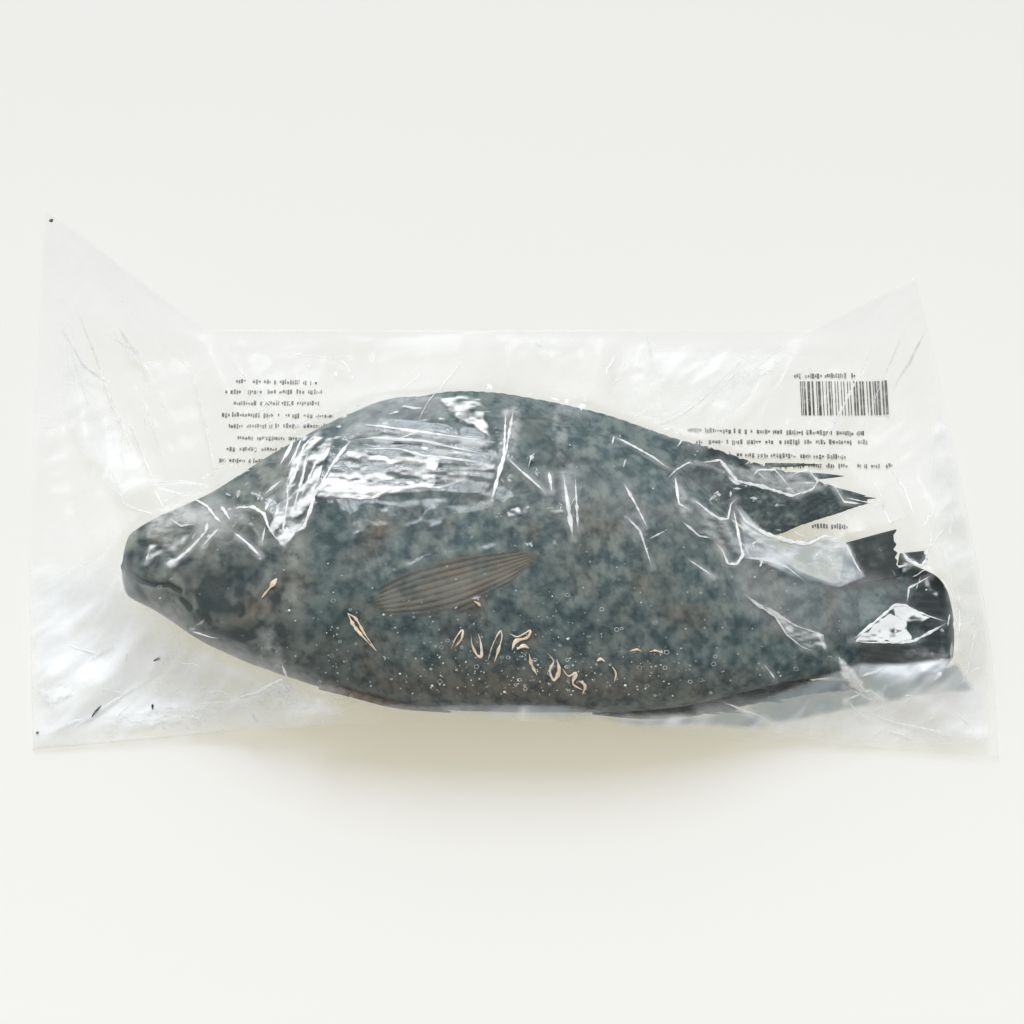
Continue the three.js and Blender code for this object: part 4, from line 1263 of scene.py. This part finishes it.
def film_layers(x, y, height, skin, on_fish, film):
    """How the upper film mirrors, less where it clings or lies on the table; how misty it is,
    from the shades and as a bell beside each crease, a painted sheen round its painted highlight;
    and how grey that mist is, as painted shade. Both are rumpled by facets, which paints each
    facet lighter or darker as light and shade."""
    gap = np.where(np.isfinite(skin), height - skin, 99)
    gloss = (1 - 0.35 * np.exp(-np.clip(gap - 0.3, 0, None) / 0.9)) * lerp(0.14, 1.0, on_fish)
    gloss *= 1 - 0.95 * spot(x, y, 146, -58, 32, 32)
    mist = 0.01 + 0.12 * (1 - on_fish) * (1 + noise(x, y, 30, 111))
    grey = np.zeros(x.shape)
    for misty, greyness, soft, pixels in SHADES:
        share = inside(x, y, seen_at(pixels, film), soft)
        mist, grey = np.maximum(mist, misty * share), np.maximum(grey, greyness * share)
    calm = 1 - 0.8 * spot(x, y, 148, -56, 26, 24)
    for _, white, pixels in CREASES:
        off = off_line(x, y, seen_at(pixels, film))
        # a painted sheen beside each crease's painted highlight
        halo = np.exp(-((off / HALO) ** 2)) * (0.7 + 0.6 * noise(x, y, 5, 146)) * calm
        mist, grey = np.maximum(mist, 0.34 * white * halo), grey * (1 - 0.8 * halo)
    # facets painted lighter and darker as light and shade
    rumple = 0.5 + 0.5 * facets(x, y, 9, 141, 2.0, 0.4) + 0.3 * facets(x, y, 3.6, 144, 1.6, 1.0)
    rumple = np.clip(rumple, 0, 1)
    return {"gloss": gloss, "mist": mist * (0.68 + 0.62 * rumple),
            "grey": np.clip(grey * (1.9 - 1.7 * rumple), 0, 1)}


def lower_film(parts, ceiling, columns, rows):
    """The lower film, settled on the table below the parts, rippled by facets where it isn't
    drawn flat for the print, and kept under the upper film."""
    bottom = Cover(parts, lowest=True)
    x, y, height = settled_film(
        columns, rows, lambda x, y: np.zeros(x.shape),
        lambda x, y: np.maximum(bottom(x, y) - FILM_GAP, 0), -WELD / 2)
    flat = 0.85 * ramp((y - 14) / 8)
    height = height + 0.25 * (1 - flat) * (1 + facets(x, y, 14, 121, 1.8, 0.3))
    height = np.clip(height + LOWEST, LOWEST, ceiling - 0.5)
    edge, fixed = film_edge(columns, rows)
    return x, y, np.where(fixed, np.maximum(edge - WELD / 2, LOWEST), height)


def wrapped_film(parts):
    """The bag's two films as one closed surface, joined round the rim by triangles from each
    edge of the lower film to two edges of the upper. Gives a map of the heights of each."""
    step, columns, rows = LOWER_STEP, FILM_COLUMNS // LOWER_STEP, FILM_ROWS // LOWER_STEP
    x, y, height, skin, on_fish = upper_film(parts)
    above = np.stack([x, y, height], -1).reshape(-1, 3)
    film = Cover([above])
    layers = film_layers(x, y, height, skin, on_fish, film)
    below = np.stack(lower_film(parts, height[::step, ::step], columns, rows), -1).reshape(-1, 3)

    quads = grid_quads(FILM_ROWS + 1, FILM_COLUMNS + 1)
    base = grid_quads(rows + 1, columns + 1)[:, ::-1] + len(above)
    fine, coarse = grid_rim(FILM_ROWS + 1, FILM_COLUMNS + 1), grid_rim(rows + 1, columns + 1) + len(above)
    first, half, last = fine[::step], fine[1::step], np.roll(fine[::step], -1)
    after = np.roll(coarse, -1)
    rim = np.concatenate([np.stack([coarse, half, first], -1), np.stack([coarse, after, half], -1),
                          np.stack([after, last, half], -1)])
    under = {"gloss": 0, "mist": 0.03, "grey": 0}
    layers = {name: np.append(layers[name].ravel(), np.full(len(below), under[name])) for name in layers}
    upper_kind, lower_kind = clear_film(), under_film()
    piece = make_piece("clear_film", np.concatenate([above, below]), [quads, base, rim],
                       [upper_kind, lower_kind, upper_kind], "film", **layers)
    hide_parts(BAG)
    return film, Cover([below])


def film_creases(film, material):
    """The upper film's creases, as narrow ridges on it, white as painted highlights: the ones
    the picture shows, and seeded ones where both ends lie well on the film."""
    creases = [(seen_at(pixels, film), PINCH * width, white) for width, white, pixels in CREASES]
    for line, width, white in fan_creases() + fine_creases():
        x, y = line.T
        beside = [film(x + dx, y + dy) for dx, dy in [(3, 0), (-3, 0), (0, 3), (0, -3)]]
        if np.isfinite(beside).all():
            creases.append((line, PINCH * width, white))
    ribbons("film_creases", creases, 0.12, film, material, "film", straight)


def film_glares(film, material):
    """Painted glare: white patches of the upper film standing for light it mirrors, each a fine
    sheet on it whose whiteness follows a grain of stretched facets, and which ends where that
    fades, at a ragged outline."""
    shapes, whites = [], []
    for seed, (strength, soft, size, stretch, heading, pixels) in enumerate(GLARES):
        corners = seen_at(pixels, film)
        low, high = corners.min(axis=0) - 1.5, corners.max(axis=0) + 1.5
        count = ((high - low) / GLARE_CELL).astype(int) + 2
        x, y = np.meshgrid(*(np.linspace(low[axis], high[axis], count[axis]) for axis in (0, 1)))
        ragged_x, ragged_y = 0.9 * noise(x, y, 3, 160 + seed), 0.7 * noise(x, y, 2, 190 + seed)
        white = strength * inside(x + ragged_x, y + ragged_y, corners, soft)
        grain = facets(x, y, size, 220 + seed, stretch, heading) + 0.5 * noise(x, y * 2.5, 2.5, 250 + seed)
        white = (white * np.clip(0.4 + 1.15 * grain, 0.03, 1)).ravel()
        quads = grid_quads(*x.shape)
        used, quads = np.unique(quads[white[quads].max(axis=1) > 0.02], return_inverse=True)
        points = np.stack([x, y, film(x, y) + LAID_ON + 0.03 * (seed % 3)], -1).reshape(-1, 3)
        shapes.append((points[used], quads.reshape(-1, 4)))
        whites.append(white[used])
    points, faces = joined(shapes)
    make_piece("film_glares", points, [faces], material, "film", white=np.concatenate(whites))


# ---------------------------------------------------------------- what else is in the bag
PRINT_ROWS = [  # rows of strokes: from x to x, first and last y, number, height, longest group
    (-112.6, -63.8, 48.6, 14.6, 8, 1.9, 12), (68, 151, 27.4, 12.4, 4, 1.9, 12),
    (117.8, 134, -12.6, -12.6, 1, 2.2, 9), (108, 156, 50.6, 50.6, 1, 2.2, 9),
]
BARS = {"from_x": 116.6, "to_x": 150.6, "y": 41, "height": 14.6}
BAR_WIDTHS, BAR_GAPS = [0.35, 0.35, 0.7, 1.05], [0.35, 0.7, 1.05]
INK_THICKNESS = 0.08
RIBBON_SIDES = 10  # points round a shred, speck or crease


def box_shapes(x, y, z, width, depth, height):
    """Many small upright boxes at once, each given by its middle, its base and its sizes."""
    signs = np.array([(-1, -1, 0), (1, -1, 0), (1, 1, 0), (-1, 1, 0),
                      (-1, -1, 1), (1, -1, 1), (1, 1, 1), (-1, 1, 1)], float)
    size = np.stack([width / 2, depth / 2, height], -1)[:, None]
    points = np.stack([x, y, z], -1)[:, None] + signs * size
    sides = np.array([(3, 2, 1, 0), (4, 5, 6, 7), (0, 1, 5, 4), (1, 2, 6, 5), (2, 3, 7, 6), (3, 0, 4, 7)])
    faces = np.arange(len(x))[:, None, None] * 8 + sides
    return points.reshape(-1, 3), faces.reshape(-1, 4)


def dash_rows(left, right, tops, height, draw, longest):
    """Rows of short strokes crowded into groups of random length, leaning a little and breaking
    off here and there, each with how worn it is."""
    dashes = []
    for row in tops:
        at, end = left + draw.uniform(0, 8), right - draw.uniform(0, 18)
        lean = draw.uniform(-0.03, 0.01)
        group = draw.uniform(2, longest)
        while at < end:
            length = draw.uniform(0.35, 1.0)
            if draw.uniform() < 0.92:
                level = row + lean * (at - left) + draw.uniform(-0.25, 0.25)
                tall, worn = height * draw.uniform(0.35, 1.1), draw.uniform(0, 0.35)
                dashes.append((at + length / 2, level, length, tall, worn))
            at += length + draw.uniform(0.2, 0.45)
            group -= length + 0.3
            if group < 0:
                group, at = draw.uniform(2, longest), at + draw.uniform(0.7, 1.6)
    return dashes


def print_shapes(floor, material):
    """The print on the lower film, as plain strokes and bars with no words or figures."""
    draw = np.random.default_rng(23)
    dashes = []
    for left, right, first, last, number, height, longest in PRINT_ROWS:
        dashes += dash_rows(left, right, np.linspace(first, last, number), height, draw, longest)
    at = BARS["from_x"]
    while at < BARS["to_x"]:
        width = draw.choice(BAR_WIDTHS)
        dashes.append((at + width / 2, BARS["y"], width, BARS["height"], 0))
        at += width + draw.choice(BAR_GAPS)
    x, y, width, depth, worn = np.array(dashes).T
    points, faces = box_shapes(x, y, floor(x, y) + LAID_ON, width, depth, INK_THICKNESS + 0 * x)
    make_piece("print", points, [faces], material, "print", worn=np.repeat(worn, 8))


def ribbon(line, width, thickness, body, course):
    """A flattened closed tube along a line whose course between its points is smooth or
    straight, laid on the body: at each of its rings an ellipse as wide as the width, made
    ragged by noise, and as high as the thickness. It is widest at one place of its length."""
    line = np.array(line, float)
    stops = np.append(0, np.hypot(*np.diff(line, axis=0).T).cumsum())
    share = np.linspace(0, 1, max(14, int(1.4 * stops[-1])))
    x, y = (course(stops, line[:, axis])(share * stops[-1]) for axis in (0, 1))
    widest = 0.5 + 0.45 * noise(line[0, 0], line[0, 1], 1.3, 152)
    width = width * (0.6 + 0.9 * ramp(1 - 1.8 * np.abs(share - widest)))
    width = (width * (1 + 0.6 * noise(x - y, x + y, 1.7, 151)))[:, None]
    z = body(x, y)
    z = np.where(np.isfinite(z), z, 0.2) + thickness * 0.6
    run_x, run_y = np.gradient(x), np.gradient(y)
    length = np.hypot(run_x, run_y) + 1e-9
    turn = 2 * np.pi * np.arange(RIBBON_SIDES)[None] / RIBBON_SIDES
    taper = np.clip(5 * np.minimum(share, 1 - share), 0.08, 1)[:, None] ** 0.7
    side = width / 2 * taper * np.cos(turn)
    points = np.stack([x[:, None] - (run_y / length)[:, None] * side,
                       y[:, None] + (run_x / length)[:, None] * side,
                       z[:, None] + thickness / 2 * taper * np.sin(turn)], -1)
    cloud = np.concatenate([points.reshape(-1, 3), points[[0, -1]].mean(axis=1)])
    return cloud, grid_quads(len(points), RIBBON_SIDES, True), pole_fans(len(points), RIBBON_SIDES)

FLECKS = [  # points along each shred, and its width
    ([(-83, -49), (-85.2, -52), (-88.5, -55.9)], 1.2),
    ([(-57, -62), (-54.6, -66.6), (-50.4, -71.4), (-46.4, -75.4)], 0.75),
    ([(-57, -62), (-54.2, -63.8), (-50.8, -69.4), (-46.4, -75.4)], 0.7),
    ([(-19.6, -75), (-17.8, -71), (-15.4, -68.2), (-15.8, -71.4), (-18, -74)], 0.6),
    ([(-12.4, -69.8), (-12, -73.4), (-10, -77.2), (-8.6, -77.4), (-9, -72), (-9.8, -69.6)], 0.6),
    ([(-6.4, -79), (-4.4, -73), (-1.8, -68.4), (-1.2, -70.4), (-2.8, -76), (-4, -79.4)], 0.6),
    ([(1.4, -69.2), (4.4, -70.4), (9, -68.2), (8, -70.6), (3.8, -72), (2.4, -75)], 0.9),
    ([(4.2, -75), (6.4, -73.6), (8.6, -74.4)], 0.8),
    ([(8.6, -76.4), (9.4, -79.8), (11.6, -83.6)], 0.7),
    ([(15.4, -76), (17.4, -78.8), (16, -82), (17.6, -85), (19.4, -82), (18.6, -78)], 0.8),
    ([(20.4, -81), (22.8, -83.6), (25.4, -82.6), (24.4, -86), (28, -88)], 0.8),
    ([(26.6, -85), (28.8, -86.6), (28, -89.2)], 0.7),
    ([(38.6, -80), (40, -82.4), (39.4, -85.4)], 0.6),
    ([(45.4, -74.4), (47.8, -73.9), (49.6, -74.6)], 0.7),
    ([(52, -74.6), (54.6, -74.1), (57.6, -74.9)], 0.7),
    ([(-11.4, -58), (-10, -58.8), (-9, -59.8)], 0.8),
    ([(33, -78.4), (34.6, -77.6), (36, -78.6)], 0.6),
]
SPECKS = [  # pixels of the picture along each dark mark on the film, and its width
    ([(153, 661.5), (156, 660), (160, 658.5)], 0.9), ([(91.5, 717.5), (96, 711.5), (101.5, 705.5)], 0.6),
    ([(152.5, 704), (152.8, 710)], 0.6), ([(36, 732), (38.6, 733.6)], 0.8),
    ([(50.5, 219), (52.2, 222.6)], 1.3),
]


def ribbons(name, lines, thickness, body, material, slot, course=smooth):
    """All the ribbons of a kind as one piece; a layer keeps each one's whiteness, 1 if not given,
    faded over both ends."""
    made = [ribbon(line, width, thickness, body, course) for line, width, *_ in lines]
    points, quads = joined([(points, quads) for points, quads, _ in made])
    ends = joined([(points, ends) for points, _, ends in made])[1]
    white = []
    for (cloud, _, _), (_, _, *given) in zip(made, lines):
        share = np.arange(len(cloud)) / len(cloud)
        white.append((given[0] if given else 1) * np.clip(6 * np.minimum(share, 1 - share), 0.1, 1))
    make_piece(name, points, [quads, ends], material, slot, white=np.concatenate(white))
    return points


TRIES = 40000
BEADS, BUBBLES = 560, 80
RING_LONG, RING_ROUND = 16, 6  # points along a bubble's ring and round its tube


def damp(x, y):
    """How much water lies at a place: most low on the flank, among the shreds."""
    low = np.clip((-y - 42) / 40, 0, 1) ** 2
    return 0.03 + 0.5 * low * (0.25 + 0.75 * np.exp(-((x - 8) / 48) ** 2))


def scattered(number, draw, body):
    """Seeded places on the flank, taken by how damp they are."""
    x, y = draw.uniform(-135, 125, TRIES), draw.uniform(-90, 32, TRIES)
    level, rise = body(x, y), np.abs(body(x, y + 2) - body(x, y - 2))
    taken = np.isfinite(level) & (rise < 5) & (level > 20) & (draw.uniform(0, 1, TRIES) < damp(x, y))
    return x[taken][:number], y[taken][:number], level[taken][:number]


def drops(body, material):
    """Flattened beads of water between skin and film: each a small ellipsoid."""
    draw = np.random.default_rng(29)
    x, y, z = scattered(BEADS, draw, body)
    radius = draw.uniform(0.14, 0.36, len(x)) * np.where(draw.uniform(0, 1, len(x)) < 0.1, 1.7, 1)
    unit, quads, fans = ball(4, 8)
    size = np.stack([radius, radius * draw.uniform(0.75, 1, len(x)), 0.16 + 0.1 * radius], -1)
    points = unit[None] * size[:, None] + np.stack([x, y, z + LAID_ON], -1)[:, None]
    start = np.arange(len(x))[:, None, None] * len(unit)
    faces = [(quads + start).reshape(-1, 4), (fans + start).reshape(-1, 3)]
    make_piece("water_beads", points.reshape(-1, 3), faces, material, "droplets")


def bubbles(body, material):
    """Bubble outlines pressed flat by the film: thin seeded rings."""
    draw = np.random.default_rng(37)
    x, y, z = scattered(BUBBLES, draw, body)
    radius = draw.uniform(0.35, 0.85, len(x))[:, None, None, None]
    turn = 2 * np.pi * np.arange(RING_LONG)[:, None] / RING_LONG
    round_ = 2 * np.pi * np.arange(RING_ROUND)[None] / RING_ROUND
    ring = np.stack([np.cos(turn), np.sin(turn), 0 * turn], -1)
    tube = np.stack([np.cos(turn) * np.cos(round_), np.sin(turn) * np.cos(round_),
                     0 * turn + np.sin(round_)], -1)
    centre = np.stack([x, y, z + LAID_ON], -1)[:, None, None]
    squash = np.stack([0 * x + 1, draw.uniform(0.7, 1, len(x)), 0 * x + 1], -1)[:, None, None]
    points = centre + (ring * radius + tube * 0.09) * squash
    quads = grid_quads(RING_LONG + 1, RING_ROUND, True)[:, [0, 3, 2, 1]] % (RING_LONG * RING_ROUND)
    start = np.arange(len(x))[:, None, None] * RING_LONG * RING_ROUND
    make_piece("bubble_rings", points.reshape(-1, 3), [(quads + start).reshape(-1, 4)], material, "droplets")


# ---------------------------------------------------------------- the studio
FLOOR_REACH = 6  # half the floor's side, in metres
# the front-to-back change is painted shade of the light falling off; FLOOR_GLOW is a painted glow that fills
# and warms the shadows
FLOOR_FRONT, FLOOR_BACK = (0.553, 0.584, 0.71, 1), (0.43, 0.457, 0.58, 1)
FLOOR_GLOW = (1, 0.91, 0.55, 1)
ROOM, ROOM_DIM, ROOM_BRIGHT = (1.0, 0.98, 0.93, 1), 0.5, 1.3
BRIGHT_SIDE = (-0.2, 0.89, 0.41)
LAMP_SIZE, LAMP_POWER, LAMP_COLOUR = (1.26, 1.65), 72, (0.9, 0.95, 1.0)


def pale_floor():
    """The table: pale, a little darker to the back as painted shade where the light falls off, and glowing
    faintly, a painted glow to fill the shadows.
    """
    p = Paint("pale_floor")
    here = p.add("ShaderNodeSeparateXYZ", None, {0: p.place()}, "Y")
    colour = p.mix((here * 2.2 + 0.5).limited(), FLOOR_FRONT, FLOOR_BACK)
    material = p.finish(p.principled(base_color=colour, roughness=0.9, specular_ior_level=0.2,
                                     emission_color=FLOOR_GLOW, emission_strength=0.4))
    r = FLOOR_REACH
    mesh = bpy.data.meshes.new("floor")
    mesh.from_pydata([(-r, -r, 0), (r, -r, 0), (r, r, 0), (-r, r, 0)], [], [(0, 1, 2, 3)])
    mesh.materials.append(material)
    floor = bpy.data.objects.new("floor", mesh)
    bpy.context.scene.collection.objects.link(floor)


def room():
    """Warm white surroundings, brighter towards one side by how nearly a ray points there."""
    world = bpy.data.worlds.new("room")
    world.use_nodes = True
    nodes, links = world.node_tree.nodes, world.node_tree.links
    where = nodes.new("ShaderNodeTexCoord")
    toward = nodes.new("ShaderNodeVectorMath")
    toward.operation = "DOT_PRODUCT"
    toward.inputs[1].default_value = BRIGHT_SIDE
    glow = nodes.new("ShaderNodeMapRange")
    glow.interpolation_type = "SMOOTHSTEP"
    ends = {"From Min": 0.72, "From Max": 1.0, "To Min": ROOM_DIM, "To Max": ROOM_BRIGHT}
    for name, value in ends.items():
        glow.inputs[name].default_value = value
    links.new(where.outputs["Generated"], toward.inputs[0])
    links.new(toward.outputs["Value"], glow.inputs["Value"])
    links.new(glow.outputs["Result"], nodes["Background"].inputs["Strength"])
    nodes["Background"].inputs["Color"].default_value = ROOM
    bpy.context.scene.world = world


def softbox():
    """One large soft light behind on the left, turned to the middle of the table."""
    light = bpy.data.lights.new("softbox", "AREA")
    light.shape, (light.size, light.size_y) = "RECTANGLE", LAMP_SIZE
    light.energy, light.color = LAMP_POWER, LAMP_COLOUR
    lamp = bpy.data.objects.new("softbox", light)
    place = Vector(LAMP) * MM
    lamp.matrix_world = Matrix.Translation(place) @ place.to_track_quat("Z", "Y").to_matrix().to_4x4()
    bpy.context.scene.collection.objects.link(lamp)


def camera():
    """The picture's view, looking down from the front."""
    scene = bpy.context.scene
    scene.view_settings.view_transform = "Standard"
    view = bpy.data.objects.new("camera", bpy.data.cameras.new("camera"))
    view.data.lens, view.data.sensor_width = LENS, SENSOR
    view.data.clip_start = 0.05
    view.location = Vector(CAMERA) * MM
    view.rotation_euler = (math.pi / 2 - ELEVATION, 0, 0)
    scene.collection.objects.link(view)
    scene.camera = view


# ---------------------------------------------------------------- putting it together
body = fish_body()
dark_fin = fin_skin("dark_fin", (0.045, 0.07, 0.07, 1), (0.02, 0.035, 0.04, 1), 0.3, 0.6, 1.0)
brown_fin = fin_skin("brown_fin", (0.22, 0.195, 0.155, 1), (0.1, 0.085, 0.066, 1), 0.75, 0.7, 0.15)
tail_skin = fin_skin("tail_skin", (0.02, 0.037, 0.04, 1), (0.009, 0.018, 0.022, 1), 0.5, 0.6, 0.25)
parts = [body, eye(body), dorsal_fin(dark_fin), anal_fin(dark_fin), pelvic_fin(brown_fin),
         pectoral_fin(brown_fin, body), tail_fin(tail_skin)]
skin = Cover(parts)
parts.append(ribbons("skin_shreds", FLECKS, 0.4, skin, loose_skin(), "flecks"))
film_top, film_bottom = wrapped_film(parts)
ink, glint_paint, water = print_ink(), painted_glint_film(), water_drop()
specks = [(seen_at(pixels, film_top), width) for pixels, width in SPECKS]
ribbons("dirt_specks", specks, 0.4, film_top, ink, "flecks")
film_creases(film_top, glint_paint)
film_glares(film_top, glint_paint)
print_shapes(film_bottom, ink)
drops(skin, water)
bubbles(skin, water)
pale_floor()
room()
softbox()
camera()
